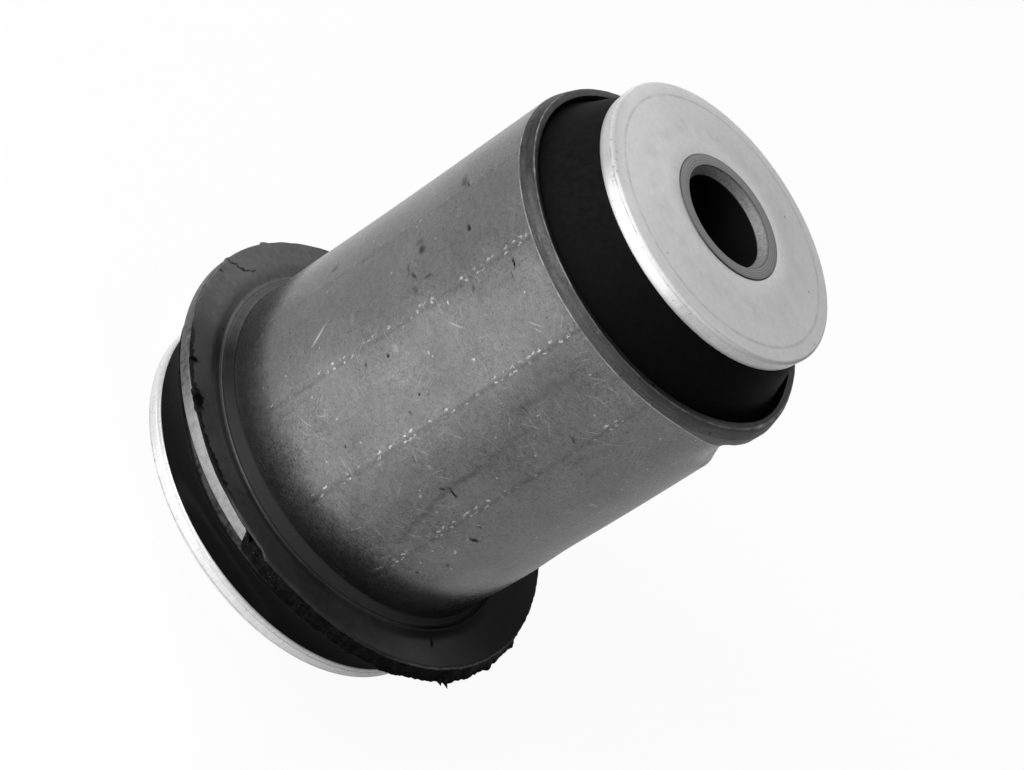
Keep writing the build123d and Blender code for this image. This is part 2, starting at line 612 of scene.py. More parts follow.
def direction(angle: float, elevation: float) -> Vector:
    """Points toward a bearing and an elevation.

    Args:
        angle: Degrees round the bore axis.
        elevation: Degrees above the floor.

    Returns:
        The unit vector.
    """
    turn, rise = math.radians(angle), math.radians(elevation)
    return Vector(
        (math.cos(rise) * math.cos(turn), math.cos(rise) * math.sin(turn), math.sin(rise))
    )


def wander(angle: float, radius: float, size: float, seed: float) -> float:
    """Repeatable noise that closes on itself round the bore axis.

    Args:
        angle: Degrees round the axis.
        radius: Radius of the edge that the noise follows, in millimetres.
        size: Typical length of a wave along that edge, in millimetres.
        seed: Tells one edge's noise from another's.

    Returns:
        A number between about -1 and 1.
    """
    turn = math.radians(angle)
    place = Vector((math.cos(turn), math.sin(turn), 0.0)) * (radius / size)
    return noise.noise(place + Vector((0.0, 0.0, seed)))


def put(name: str, data: bpy.types.ID) -> bpy.types.Object:
    """Makes an object and links it to the scene.

    Args:
        name: The new object's name.
        data: Its mesh, lamp or camera.

    Returns:
        The new object.
    """
    thing = bpy.data.objects.new(name, data)
    bpy.context.scene.collection.objects.link(thing)
    return thing


def stand(
    name: str,
    mesh: bmesh.types.BMesh,
    material: bpy.types.Material,
    node: str,
) -> bpy.types.Object:
    """Cleans a finished mesh and stands it in for a CAD node.

    Args:
        name: The new object's name.
        mesh: The mesh, in metres and in place.
        material: The piece's finish.
        node: The CAD node that it replaces.

    Returns:
        The new object.
    """
    bmesh.ops.remove_doubles(mesh, verts=mesh.verts, dist=MERGE_GAP * MM)
    bmesh.ops.dissolve_degenerate(mesh, edges=mesh.edges, dist=SEAM_GAP * MM)
    bmesh.ops.recalc_face_normals(mesh, faces=mesh.faces)
    data = bpy.data.meshes.new(name)
    mesh.to_mesh(data)
    mesh.free()
    data.shade_smooth()
    data.set_sharp_from_angle(angle=math.radians(SHARP_TURN))
    data.materials.append(material)
    piece = put(name, data)
    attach(piece, BODY)
    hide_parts(node)
    LOG.info("%s: %d faces", name, len(data.polygons))
    return piece


# ---- sizes taken from the frame ----------------------------------------------------------


@dataclass(frozen=True)
class BushSizes:
    """The bush's main sizes in millimetres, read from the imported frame."""

    length: float
    inner_radius: float
    bore_radius: float
    sleeve_radius: float
    sleeve_base: float
    sleeve_top: float
    flange_radius: float
    upper_washer_radius: float
    lower_washer_radius: float

    @classmethod
    def measured(cls) -> "BushSizes":
        """Reads the nodes' boxes and the record's mounts.

        Returns:
            The sizes.
        """
        inner_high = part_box("inner_sleeve")[1] / MM
        outer_low, outer_high = (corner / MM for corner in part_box("outer_sleeve"))
        mounts = {m["name"]: m["dims"].get("r_mm") for m in frame["record"]["mounts"]}
        return cls(
            length=inner_high.z,
            inner_radius=inner_high.x,
            bore_radius=mounts["bore"],
            sleeve_radius=mounts["sleeve_outside"],
            sleeve_base=outer_low.z,
            sleeve_top=outer_high.z,
            flange_radius=outer_high.x,
            upper_washer_radius=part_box("upper_washer")[1].x / MM,
            lower_washer_radius=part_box("lower_washer")[1].x / MM,
        )


# ---- inner sleeve ------------------------------------------------------------------------


@dataclass(frozen=True)
class TurnedSteel:
    """Dull turned steel end with a rough, speckled countersink and a bore painted black as painted
    shadow.
    """

    face_shade: float = 0.27
    countersink_shade: float = 0.26
    painted_bore_shadow: float = 0.015
    roughness: float = 0.42
    ring_rate: float = 15.0
    ring_sway: float = 5.0
    relief_depth: float = 0.04

    def material(self, sizes: BushSizes, countersink: float) -> bpy.types.Material:
        """Builds the finish.

        Args:
            sizes: The bush's main sizes.
            countersink: Width of the countersink, in millimetres.

        Returns:
            The material.
        """
        s = Shader("turned_steel")
        bore, mouth = sizes.bore_radius, sizes.bore_radius + countersink
        sway = s.grain(3.0, 1.0, shift=8.0) * self.ring_sway
        rings = s.radius.math("SINE", s.radius * self.ring_rate + sway) * 0.5 + 0.5
        grooves = s.grain(0.22, 1.0, (60.0, 60.0, 60.0), s.unrolled(1.0))
        cone = s.radius.rise(mouth + 0.08, mouth - 0.05)
        cone = cone * s.radius.rise(bore + 0.02, bore + 0.12)
        inside = s.radius.rise(bore + 0.1, bore + 0.02)
        lip = s.radius.band(mouth - 0.02, 0.2)
        outline = s.radius.rise(sizes.inner_radius - 0.3, sizes.inner_radius - 0.08)
        speckle = s.grain(0.35, 3.0)
        mottle = s.grain(2.2, 3.0, shift=4.0)
        plain = self.face_shade * (0.86 + mottle * 0.4 - rings * (0.1 + mottle * 0.5))
        shade = plain.covered(cone, self.countersink_shade * (0.2 + speckle * 1.6))
        shade = shade.dimmed(lip * (0.3 + mottle * 0.4)).dimmed(outline, 0.5)
        # Painted shadow: the bore is painted near black.
        shade = shade.covered(inside, self.painted_bore_shadow)
        roughness = self.roughness + speckle * 0.2 + inside * 0.2 + cone * 0.15
        relief = speckle * (0.2 + cone * 0.8) + rings * 0.15 + grooves * 0.1
        return s.finish(shade, roughness, 1.0 - cone * 0.4, relief, self.relief_depth)


@dataclass
class InnerSleeve:
    """The thick steel tube that the bolt clamps, countersunk at both ends."""

    sizes: BushSizes
    countersink: float = 0.95
    countersink_depth: float = 1.7
    edge: float = 0.18
    steps: int = 192
    finish: TurnedSteel = TurnedSteel()

    def build(self) -> bpy.types.Object:
        """Turns the sleeve and dresses it.

        Returns:
            The dressed piece.
        """
        bore, outside, length = self.sizes.bore_radius, self.sizes.inner_radius, self.sizes.length
        mouth, depth = bore + self.countersink, self.countersink_depth
        section = [
            Corner(bore, depth, 0.1, 2),
            Corner(bore, length - depth, 0.1, 2),
            Corner(mouth, length, 0.12, 3),
            Corner(outside, length, self.edge, 3),
            Corner(outside, 0.0, self.edge, 3),
            Corner(mouth, 0.0, 0.12, 3),
        ]
        mesh = Turning(section, 6.0).spun(self.steps)
        material = self.finish.material(self.sizes, self.countersink)
        return stand("inner_sleeve_turned", mesh, material, "inner_sleeve")


# ---- outer sleeve ------------------------------------------------------------------------


@dataclass(frozen=True)
class LeadIn:
    """The chamfer at the sleeve's free end, and the eccentric cut of the face inside it."""

    width: float = 0.7
    length: float = 2.2
    cut: float = 0.45
    cut_angle: float = -125.0
    cut_width: float = 40.0


@dataclass(frozen=True)
class SwagedSteel:
    """Satin drawn steel with swaging-jaw rows, hairline scratches, stains and soft creases, and
    with painted shade, painted highlights and a painted dark reflection of the flange.
    """

    shade: float = 0.165
    edge_shade: float = 0.42
    sheared_shade: float = 0.36
    roughness: float = 0.28
    metallic: float = 0.92
    jaw_low: float = 24.0
    jaw_high: float = 84.5
    column: float = 0.85
    deep_side: Side = Side(-87.0, 0.25, 1.0)
    far_side: Side = Side(93.0, 0.3, 1.0)
    rubbed_side: Side = Side(-83.0, 0.45, 0.95)
    painted_rim_highlight_side: Side = Side(-178.0, 0.93, 1.0)
    grime_and_reflection_side: Side = Side(-78.0, 0.55, 0.95)
    grime_and_reflection_foot: float = 20.5
    grime_and_reflection_top: float = 31.5
    grime_and_reflection_strength: float = 0.62
    painted_shade_side: Side = Side(12.0, 0.72, 0.98)
    painted_shade_strength: float = 0.55
    lead_in_dip: float = 4.2
    dip_angle: float = -4.0
    dip_width: float = 26.0
    lead_in_painted_shade_side: Side = Side(-140.0, 0.3, 0.85)
    stained_side: Side = Side(-70.0, -0.5, 0.6)
    sheared_highlight_side: Side = Side(-100.0, 0.84, 0.985)
    relief_depth: float = 0.04
    stains: tuple[Mark, ...] = (
        Mark(-150.0, 71.6, 5.3, 2.3, 22.0, 0.78),
        Mark(-147.2, 72.6, 2.1, 0.8, 5.0, 0.91),
        Mark(-130.7, 72.5, 2.3, 1.2, 15.0, 1.0),
        Mark(-134.2, 62.4, 2.8, 2.3, 10.0, 0.72),
        Mark(-137.5, 62.0, 2.5, 1.9, 60.0, 0.39),
        Mark(-124.2, 62.9, 3.4, 0.9, 84.0, 0.65),
        Mark(-127.4, 60.0, 3.4, 0.8, 20.0, 0.65),
        Mark(-122.6, 59.8, 2.5, 1.6, 0.0, 0.39),
        Mark(-131.0, 59.2, 3.9, 0.9, -18.0, 0.45),
        Mark(-151.8, 41.9, 2.3, 2.5, 90.0, 0.65),
        Mark(-147.5, 84.0, 3.4, 0.8, 8.0, 0.65),
        Mark(-112.0, 78.9, 2.5, 0.6, -25.0, 0.98),
        Mark(-109.4, 77.7, 1.8, 0.5, -12.0, 0.78),
        Mark(-112.6, 70.4, 2.8, 0.8, 0.0, 0.52),
        Mark(-110.0, 51.0, 1.0, 0.6, 0.0, 0.91),
        Mark(-111.4, 46.4, 1.8, 0.6, -20.0, 0.65),
        Mark(-95.0, 53.0, 0.9, 0.8, 20.0, 0.91),
        Mark(-94.2, 36.2, 0.9, 0.6, 0.0, 0.91),
        Mark(-92.0, 50.0, 1.6, 0.6, 0.0, 0.52),
        Mark(-65.3, 46.6, 3.7, 0.6, -3.0, 1.0),
        Mark(-68.2, 46.0, 1.4, 0.9, 30.0, 0.78),
        Mark(-75.4, 67.2, 2.1, 0.6, 25.0, 0.72),
        Mark(-59.4, 69.6, 2.8, 0.6, -15.0, 0.91),
        Mark(-47.0, 41.6, 3.0, 1.4, 8.0, 1.0),
        Mark(-50.6, 44.6, 1.8, 0.9, 0.0, 0.65),
        Mark(-44.4, 34.0, 2.1, 1.1, -20.0, 0.52),
        Mark(-48.6, 29.6, 1.4, 0.9, -10.0, 0.78),
    )
    pale: tuple[Mark, ...] = (
        Mark(-70.1, 41.8, 1.1, 0.7, -20.0, 0.4),
        Mark(-76.0, 46.8, 1.1, 0.8, 0.0, 0.35),
        Mark(-47.6, 37.4, 1.7, 0.5, -30.0, 0.6),
        Mark(-48.6, 41.0, 1.2, 0.4, -40.0, 0.35),
        Mark(-112.9, 65.2, 0.9, 0.6, 10.0, 0.9),
        Mark(-95.0, 64.9, 0.8, 0.5, 0.0, 0.8),
        Mark(-87.6, 48.3, 0.6, 1.2, 0.0, 0.9),
        Mark(-104.2, 58.2, 1.0, 0.6, 0.0, 0.5),
        Mark(-110.4, 52.8, 2.6, 1.6, 0.0, 0.14),
        Mark(-127.0, 46.2, 2.6, 1.8, 0.0, 0.12),
    )
    # Each crease's strength and the places that it runs through.
    creases: tuple[tuple[float, tuple[tuple[float, float], ...]], ...] = (
        (0.12, ((-69.0, 66.0), (-68.0, 57.0), (-67.0, 50.0))),
        (0.27, ((-67.4, 52.0), (-67.0, 47.0), (-64.2, 39.2), (-61.8, 33.0))),
        (0.16, ((-76.0, 78.0), (-76.4, 66.0))),
        (0.14, ((-85.0, 42.0), (-77.0, 35.0), (-75.0, 29.0))),
        (0.14, ((-53.0, 66.0), (-49.5, 72.5), (-45.0, 72.0), (-43.4, 64.0))),
    )
    # Families of short scratches: heading, spacing, length and share.
    scuffs: tuple[tuple[float, float, float, float], ...] = (
        (6.0, 1.0, 26.0, 0.45),
        (-16.0, 0.9, 20.0, 0.45),
        (38.0, 1.1, 22.0, 0.45),
        (70.0, 1.0, 16.0, 0.35),
        (128.0, 1.2, 16.0, 0.3),
    )
    scratches: tuple[Mark, ...] = (
        Mark(-129.0, 38.9, 5.6, 0.7, 128.0, 0.6),
        Mark(-128.2, 38.2, 4.4, 0.3, 125.0, 1.0),
        Mark(-106.0, 65.0, 5.2, 0.22, 44.0, 0.42),
        Mark(-107.0, 64.4, 4.6, 0.18, 40.0, 0.35),
        Mark(-93.8, 77.6, 3.8, 0.22, 44.0, 0.5),
        Mark(-92.2, 77.4, 2.6, 0.2, 36.0, 0.4),
        Mark(-70.0, 66.0, 5.2, 0.2, 38.0, 0.3),
        Mark(-63.6, 63.4, 5.4, 0.2, -20.0, 0.3),
        Mark(-58.2, 71.0, 3.8, 0.18, 40.0, 0.3),
        Mark(-31.2, 59.8, 3.4, 0.4, -12.0, 0.35),
    )

    def texture(self, s: Shader, flat: bpy.types.NodeSocket) -> tuple[Term, Term, Term]:
        """Cloudy, mottled and finely streaked variation, each about 0.5.

        Args:
            s: The shader under construction.
            flat: Unrolled coordinates.

        Returns:
            Clouds, mottling and fine streaks that run round the sleeve.
        """
        clouds = s.grain(16.0, 2.0) * 0.5 + s.grain(5.0, 3.0, shift=4.0) * 0.5
        mottle = s.grain(1.1, 3.0, at=flat, shift=3.0)
        streaks = s.grain(0.28, 2.0, (1.4, 1.0, 1.0), flat, 5.0)
        return clouds, mottle, streaks

    def rows(self, s: Shader, sleeve: "OuterSleeve") -> tuple[Term, Term]:
        """The paired rows of dots that the swaging jaws left.

        Args:
            s: The shader under construction.
            sleeve: The sleeve, whose jaws the rows follow.

        Returns:
            The bright dots, and the dull line between their two columns.
        """
        radius, pitch = sleeve.sizes.sleeve_radius, 360.0 / sleeve.jaws
        from_gap = s.angle - (sleeve.jaw_start - 0.5 * pitch)
        turn = from_gap.math("FLOORED_MODULO", from_gap, pitch)
        number = (from_gap / pitch).math("FLOOR", from_gap / pitch)
        sway = (s.grain(6.0, 1.0, shift=9.0) - 0.5) * 0.4
        across = (turn - 0.5 * pitch) * (math.radians(1.0) * radius) + sway
        along = s.height.rise(self.jaw_low, self.jaw_low + 2.0)
        along = along * s.height.rise(self.jaw_high, self.jaw_high - 0.5)
        columns = across * (1.0 / self.column) + number * 7.0
        place = {0: columns, 1: s.height * (0.62 / self.column)}
        uneven = s.warped(s.node("ShaderNodeCombineXYZ", {}, place).outputs[0], 0.4, 0.26)
        beside = s.vector("ADD", {0: uneven, 1: (0.3, 0.25, 0.0)})
        within = across.band(0.0, self.column * 1.1).rise(0.0, 0.3) * along
        dots, pits = (
            s.specks(1.0, 0.34, 0.84, at, flat=True, scatter=0.75) * within
            for at in (uneven, beside)
        )
        deep = s.facing(self.deep_side).most(s.facing(self.far_side) * 0.5)
        strength = 0.12 + s.patches(3.4, 1.0, 5.0, 1.9, 6.0) * 0.88
        strength = strength * (0.08 + deep * 0.92) * s.patches(0.5, 2.0, 2.4, 0.45, 31.0)
        dull = across.band(self.column * 0.55, 0.7) * along * (0.4 + deep * 0.6)
        return dots * strength, dull.most(pits * strength * 2.0)

    def wear(self, s: Shader, flat: bpy.types.NodeSocket) -> tuple[Term, Term, Term]:
        """Hairlines and short scratches where the sleeve was rubbed, and pinprick specks.

        Args:
            s: The shader under construction.
            flat: Unrolled coordinates.

        Returns:
            How rubbed the surface is, bright scratches with painted glints, and dark specks.
        """
        patchy = s.patches(8.0, 2.0, 4.0, 1.6, 12.0)
        rubbed = s.facing(self.rubbed_side).most(patchy * 0.5)
        rubbed = rubbed * (0.35 + patchy * 0.65)
        bent = s.warped(flat, 9.0, 0.5)
        hair = abs(s.grain(3.6, 2.0, (1.6, 1.0, 1.0), flat, 17.0) - 0.5).rise(0.006, 0.0)
        families = [s.scratches(bent, *family) * 0.3 for family in self.scuffs]
        scuffs = reduce(Term.most, families, hair * 0.1)
        # Glints are painted highlights: bright pinpoints in the colour.
        glints = s.specks(5.5, 0.045, 0.5, flat, flat=True)
        pits = s.specks(2.3, 0.09, 0.3, flat, flat=True)
        return rubbed, (scuffs * rubbed).most(glints * 0.5), pits

    def end(
        self, s: Shader, sleeve: "OuterSleeve", mottle: Term
    ) -> tuple[Term, Term, Term, Term]:
        """The darker lead-in at the free end, partly painted shade, with worn edges, a stained
        face and nicks.

        Args:
            s: The shader under construction.
            sleeve: The sleeve, whose lead-in the finish follows.
            mottle: The sleeve's mottling.

        Returns:
            Where the lead-in is, its turned rings, its bright edges and what is left of the shade.
        """
        radius, top = sleeve.sizes.sleeve_radius, sleeve.sizes.sleeve_top
        lead_in = sleeve.lead_in
        start = top - lead_in.length
        level = s.height + s.angle.hill(self.dip_angle, self.dip_width) * self.lead_in_dip
        place = level.rise(start - 0.15, start + 0.1)
        patchy = s.patches(2.6, 3.0, 4.4, 1.9, 21.0)
        nicks = s.specks(2.2, 0.17, 0.5) * s.height.rise(start - 0.2, start + 0.2)
        worn = level.band(start, 0.16) * (patchy * 0.6 + 0.3)
        along = s.unrolled(radius, s.radius + s.height)
        rings = s.grain(0.24, 2.0, (18.0, 1.0, 1.0), along, 23.0)
        cut = s.angle.hill(lead_in.cut_angle, lead_in.cut_width) * lead_in.cut
        corner = radius - lead_in.width - cut
        rim = s.height.band(top - 0.05, 0.14) * (s.radius - corner).rise(-0.25, -0.05)
        face = s.height.rise(top - 0.1, top - 0.02)
        face = face * (0.25 + s.facing(self.stained_side) * 0.75)
        # Painted shade: the lead-in is painted darker on its far left side.
        dim = 0.28 + s.facing(self.lead_in_painted_shade_side) * 0.38
        dim = dim - (rings - 0.5) * 0.6 + (mottle - 0.5) * 0.3
        left = (1.0 - place * dim).dimmed(face, 0.4).dimmed(nicks, 0.75)
        return place, rings, worn.most(rim * (patchy * 0.7 + 0.3) * 0.7), left

    def material(self, sleeve: "OuterSleeve") -> bpy.types.Material:
        """Builds the finish.

        Args:
            sleeve: The sleeve, whose sizes, jaws and lead-in the finish follows.

        Returns:
            The material.
        """
        s = Shader("swaged_steel")
        sizes = sleeve.sizes
        radius = sizes.sleeve_radius
        flat = s.unrolled(radius)
        ragged = s.warped(flat, 1.2, 0.25)
        clouds, mottle, streaks = self.texture(s, flat)
        dots, dull = self.rows(s, sleeve)
        rubbed, scuffs, pits = self.wear(s, flat)
        lead_in, rings, worn, left = self.end(s, sleeve, mottle)
        stains = s.marks(ragged, self.stains, radius) * (0.6 + mottle * 0.8)
        # Creases are painted as dark lines, painted shade, as well as sunk in the relief.
        wavy = s.warped(flat, 3.0, 0.5)
        creases = sum(
            s.line(wavy, places, radius, 1.0) * strength for strength, places in self.creases
        )
        # A grainy bloom above the flange on the side where rubber wraps it: partly grime, partly
        # painted shade standing in for the dark flange's reflection.
        reach = s.height + (mottle - 0.5) * 6.0 + (streaks - 0.5) * 9.0 + (clouds - 0.5) * 9.0
        grime_and_flange_reflection = reach.rise(self.grime_and_reflection_top, self.grime_and_reflection_foot)
        grime_and_flange_reflection = grime_and_flange_reflection * s.facing(self.grime_and_reflection_side) * self.grime_and_reflection_strength
        # The sheared edge of the flange, with a painted highlight: it is painted brightest on its
        # front side.
        sheared = s.radius.rise(sizes.flange_radius - 0.35, sizes.flange_radius - 0.1)
        striped = s.grain(0.3, 2.0, (1.0, 1.0, 7.0), shift=2.0)
        edge = self.sheared_shade * (0.3 + s.facing(self.sheared_highlight_side) * 0.55)
        edge = edge + (striped - 0.5) * 0.16 + (mottle - 0.5) * 0.25
        bright = dots.most(scuffs).most(s.marks(ragged, self.pale, radius))
        bright = bright.most(s.marks(flat, self.scratches, radius))
        bright = bright.dimmed(grime_and_flange_reflection).dimmed(lead_in, 0.6)
        # Painted highlight: the left edge is painted lighter, a painted rim light.
        shade = self.shade * (
            1.0
            + (clouds - 0.5) * 0.9
            + (mottle - 0.5) * (0.35 + rubbed * 0.45)
            + (streaks - 0.5) * (0.45 + rubbed)
            + s.facing(self.painted_rim_highlight_side) * 0.3
        )
        shade = shade.dimmed(dull, 0.2).dimmed(stains).dimmed(creases).dimmed(pits, 0.5)
        # Painted shade: the metal is painted darker on its right side.
        painted_right_shade = s.facing(self.painted_shade_side)
        shade = (shade * left).dimmed(grime_and_flange_reflection).dimmed(painted_right_shade, self.painted_shade_strength)
        shade = (shade + bright.most(worn) * self.edge_shade).covered(sheared, edge)
        roughness = self.roughness + (mottle - 0.5) * 0.12 + grime_and_flange_reflection * 0.2 + sheared * 0.15
        roughness = roughness + lead_in * 0.22
        relief = (
            streaks * (0.1 + rubbed * 0.2)
            + mottle * 0.2
            + clouds * 0.8
            + dots * 0.3
            - dull * 0.3
            - creases * 0.5
            + sheared * striped * 0.3
            + lead_in * rings * 0.3
        )
        return s.finish(shade, roughness, self.metallic, relief, self.relief_depth)


@dataclass
class OuterSleeve:
    """Swaged steel tube, flared into a flange at its lower end, with a knock near its mouth."""

    sizes: BushSizes
    wall: float = 2.0
    bend: float = 1.5
    lead_in: LeadIn = LeadIn()
    jaws: int = 12
    jaw_start: float = 3.3
    jaw_flat: float = 0.16
    jaw_foot: float = 31.0
    jaw_full: float = 42.0
    firm_angle: float = -80.0
    firm_width: float = 50.0
    flare: float = 0.3
    flare_foot: tuple[float, float] = (21.5, 28.0)
    flare_top: tuple[float, float] = (33.0, 43.0)
    dent_angle: float = -2.0
    dent_drop: float = 10.1
    dent_skew: float = -0.15
    dent_height: float = 7.0
    dent_width: float = 8.5
    dent_depth: float = 1.4
    lip_bulge: float = 0.45
    bulge_width: float = 8.0
    lean: float = 0.2
    lean_height: float = 54.0
    lean_reach: float = 20.0
    wave: float = 0.03
    nick: float = 0.06
    burr: float = 0.3
    burr_angle: float = -106.0
    burr_width: float = 24.0
    steps: int = 432
    finish: SwagedSteel = SwagedSteel()

    def section(self) -> list[Corner]:
        """Draws the sleeve's wall.

        Returns:
            Its corners, from the mouth down the outside and back up.
        """
        s = self.sizes
        outside, base, top = s.sleeve_radius, s.sleeve_base, s.sleeve_top
        bore, flange = outside - self.wall, s.flange_radius
        return [
            Corner(bore, top, 0.12, 2),
            Corner(outside - self.lead_in.width, top, 0.12, 2),
            Corner(outside, top - self.lead_in.length, 0.12, 2),
            Corner(outside, base + self.wall, self.bend, 8),
            Corner(flange, base + self.wall, 0.18, 3),
            Corner(flange, base, 0.25, 3),
            Corner(bore, base, self.wall + self.bend, 10),
        ]

    def pressed(self, angle: float, height: float) -> float:
        """How far the swaging jaws flattened the wall.

        Args:
            angle: Degrees round the bore axis.
            height: Height up the axis, in millimetres.

        Returns:
            The depth at that place, in millimetres.
        """
        pitch = 360.0 / self.jaws
        share = ((angle - self.jaw_start) % pitch) / pitch * 2.0 - 1.0
        top = self.sizes.sleeve_top - self.lead_in.length
        reach = ease(height, self.jaw_foot, self.jaw_full) * ease(-height, -top, -top + 4.0)
        firm = 0.4 + 0.6 * bell(turn_between(angle, self.firm_angle), self.firm_width)
        return self.jaw_flat * (1.0 - share * share) * reach * firm

    def knocked(self, angle: float, height: float) -> float:
        """How far the knock moved the wall: a dent, with a small bulge above it.

        Args:
            angle: Degrees round the bore axis.
            height: Height up the axis, in millimetres.

        Returns:
            The way outward at that place, in millimetres.
        """
        turn = turn_between(angle, self.dent_angle)
        away = math.radians(turn) * self.sizes.sleeve_radius
        middle = self.sizes.sleeve_top - self.dent_drop + self.dent_skew * turn
        low, high = middle - self.dent_height / 2.0, middle + self.dent_height / 2.0
        sunk = ease(height, low - 0.6, low + 2.4) * ease(-height, -high - 0.6, -high + 0.9)
        bulge = self.lip_bulge * bell(away, self.bulge_width)
        bulge *= ease(height, high - 0.6, high + 1.8)
        return bulge - self.dent_depth * bell(away, self.dent_width) * sunk

    def worn(self, angle: float, radius: float, height: float) -> float:
        """How far the wall is out of true: flared and leaning, with a nicked and cut end.

        Args:
            angle: Degrees round the bore axis.
            radius: Distance from the axis, in millimetres.
            height: Height up the axis, in millimetres.

        Returns:
            The way outward at that place, in millimetres.
        """
        outside, top = self.sizes.sleeve_radius, self.sizes.sleeve_top
        toward_right = math.cos(math.radians(angle))
        lean = self.lean * toward_right * bell(height - self.lean_height, self.lean_reach)
        flare = self.flare * (0.55 + 0.45 * toward_right) * ease(height, *self.flare_foot)
        flare *= ease(-height, -self.flare_top[1], -self.flare_top[0])
        wave = self.wave * wander(angle, outside, 18.0, height / 22.0)
        nick = self.nick * wander(angle, outside, 1.4, 40.0) * bell(height - top, 0.3)
        cut = bell(turn_between(angle, self.lead_in.cut_angle), self.lead_in.cut_width)
        cut *= self.lead_in.cut * ease(height, top - 1.0, top - 0.3)
        cut *= ease(radius, outside - 1.4, outside - 0.9)
        return lean + flare + wave + nick - cut

    def burred(self, angle: float, radius: float, height: float) -> float:
        """How far the flange's lower edge was drawn down when it was sheared.

        Args:
            angle: Degrees round the bore axis.
            radius: Distance from the axis, in millimetres.
            height: Height up the axis, in millimetres.

        Returns:
            The way down at that place, in millimetres.
        """
        flange, base = self.sizes.flange_radius, self.sizes.sleeve_base
        strength = 0.3 + bell(turn_between(angle, self.burr_angle), self.burr_width)
        reach = ease(radius, flange - 0.7, flange - 0.3) * ease(-height, -base - 1.0, -base)
        return self.burr * strength * reach

    def build(self) -> bpy.types.Object:
        """Turns the sleeve, presses and knocks its wall, burrs its flange and dresses it.

        Returns:
            The dressed piece.
        """
        mesh = Turning(self.section(), 1.1).spun(self.steps)
        foot = self.sizes.sleeve_base + self.wall + self.bend
        for point in mesh.verts:
            angle, radius, height = bearing(point.co)
            if height >= foot:
                shift = self.knocked(angle, height) - self.pressed(angle, height)
                radius += shift + self.worn(angle, radius, height)
            else:
                height -= self.burred(angle, radius, height)
            set_bearing(point.co, angle, radius, height)
        material = self.finish.material(self)
        return stand("outer_sleeve_swaged", mesh, material, "outer_sleeve")


# ---- end washers -------------------------------------------------------------------------


class End(Enum):
    """The two ends of the bush, as the way out along the bore axis."""

    UPPER = 1
    LOWER = -1


@dataclass(frozen=True)
class ZincPlate:
    """Pale zinc plate: a matte, mottled and handled face, a rolled rim painted pale as a painted
    highlight and a shiny edge painted lighter on its lit side.
    """

    shade: float = 0.66
    wall_shade: float = 0.6
    lit_shade: float = 0.95
    lit_side: Side = Side(-101.0, 0.83, 0.97)
    roughness: float = 0.42
    metallic: float = 0.8
    ring_inset: float = 2.7
    ring_half_width: float = 0.42
    line_drop: float = 0.62
    line_side: Side = Side(-85.0, 0.95, 0.985)
    chipped_side: Side = Side(-131.0, 0.95, 0.995)
    smudge_and_shade_side: Side = Side(-146.0, 0.86, 0.98)
    # Two scores round the edge: drop below the rim, half width and side.
    scores: tuple[tuple[float, float, Side], ...] = (
        (0.45, 0.16, Side(-118.0, 0.9, 0.97)),
        (1.15, 0.12, Side(-126.0, 0.93, 0.98)),
    )
    relief_depth: float = 0.03

    def material(self, radius: float, rim: float, out: float) -> bpy.types.Material:
        """Builds the finish of one washer.

        Args:
            radius: The plate's radius, in millimetres.
            rim: Height of the face at its rim, in millimetres.
            out: 1 where the face looks up the bore axis, -1 where it looks down.

        Returns:
            The material.
        """
        s = Shader("zinc_plate")
        flat = s.unrolled(radius)
        drop = (rim - s.height) * out
        cloud = s.grain(9.0, 3.0)
        mottle = s.grain(0.9, 4.0, shift=3.0)
        fine = s.grain(0.25, 2.0, shift=7.0)
        streaks = s.grain(0.5, 2.0, (1.0, 5.0, 1.0), flat, 2.0)
        patchy = s.patches(2.4, 2.0, 4.0, 1.5, 5.0)
        turned = s.radius.math("SINE", s.radius * 9.0 + cloud * 1.5) * 0.5 + 0.5
        specks = s.specks(2.4, 0.14, 0.25)
        wall = drop.rise(0.3, 0.6)
        roll = drop.band(0.2, 0.5).dimmed(wall)
        line = drop.band(self.line_drop, 0.11)
        line = line * s.facing(self.line_side).most(patchy * 0.5)
        chips = s.specks(0.9, 0.44, 0.8) * s.facing(self.chipped_side)
        chips = chips * drop.band(0.35, 0.7)
        first, second = (
            drop.band(down, half_width) * s.facing(side) for down, half_width, side in self.scores
        )
        score = (first * (0.25 + patchy * 0.75)).most(second * patchy * 0.6)
        ring = s.radius.band(radius - self.ring_inset, self.ring_half_width)
        handled = s.radius.band(radius * 0.66, 3.6) * patchy * (mottle * 3.0 - 1.0).held()
        # The rim and wall are painted darker toward the smudged side: partly smudge, partly
        # painted shade.
        smudge_and_shade = s.facing(self.smudge_and_shade_side) * (0.3 + mottle * 0.9)
        shade = self.shade * (0.86 + cloud * 0.14 + (mottle - 0.5) * 0.26 + (fine - 0.5) * 0.12)
        shade = shade.dimmed(specks, 0.5).dimmed(ring * (0.1 + patchy * 0.15)).dimmed(handled, 0.2)
        # The rolled rim is painted paler than the face: a painted highlight.
        shade = (shade + roll * (0.16 + (streaks - 0.5) * 0.3)).dimmed(roll * smudge_and_shade, 0.45)
        # Painted highlight: the wall is painted lighter round its lit side.
        lit = s.facing(self.lit_side)
        edge = self.wall_shade + lit * (self.lit_shade - self.wall_shade)
        edge = edge * (0.95 + (streaks - 0.5) * 0.24 + (mottle - 0.5) * 0.2)
        edge = edge.dimmed(drop.rise(1.9, 2.5), 0.22).dimmed(smudge_and_shade, 0.3)
        shade = shade.covered(wall, edge).dimmed(line, 0.5).dimmed(chips, 0.65).dimmed(score, 0.55)
        roughness = self.roughness + (mottle - 0.5) * 0.16 - wall * 0.12 + roll * 0.34
        relief = mottle * 0.5 + fine * 0.2 + turned * 0.06 + streaks * wall * 0.3
        metallic = self.metallic - wall * 0.4 - roll * 0.55
        return s.finish(shade, roughness, metallic, relief, self.relief_depth)


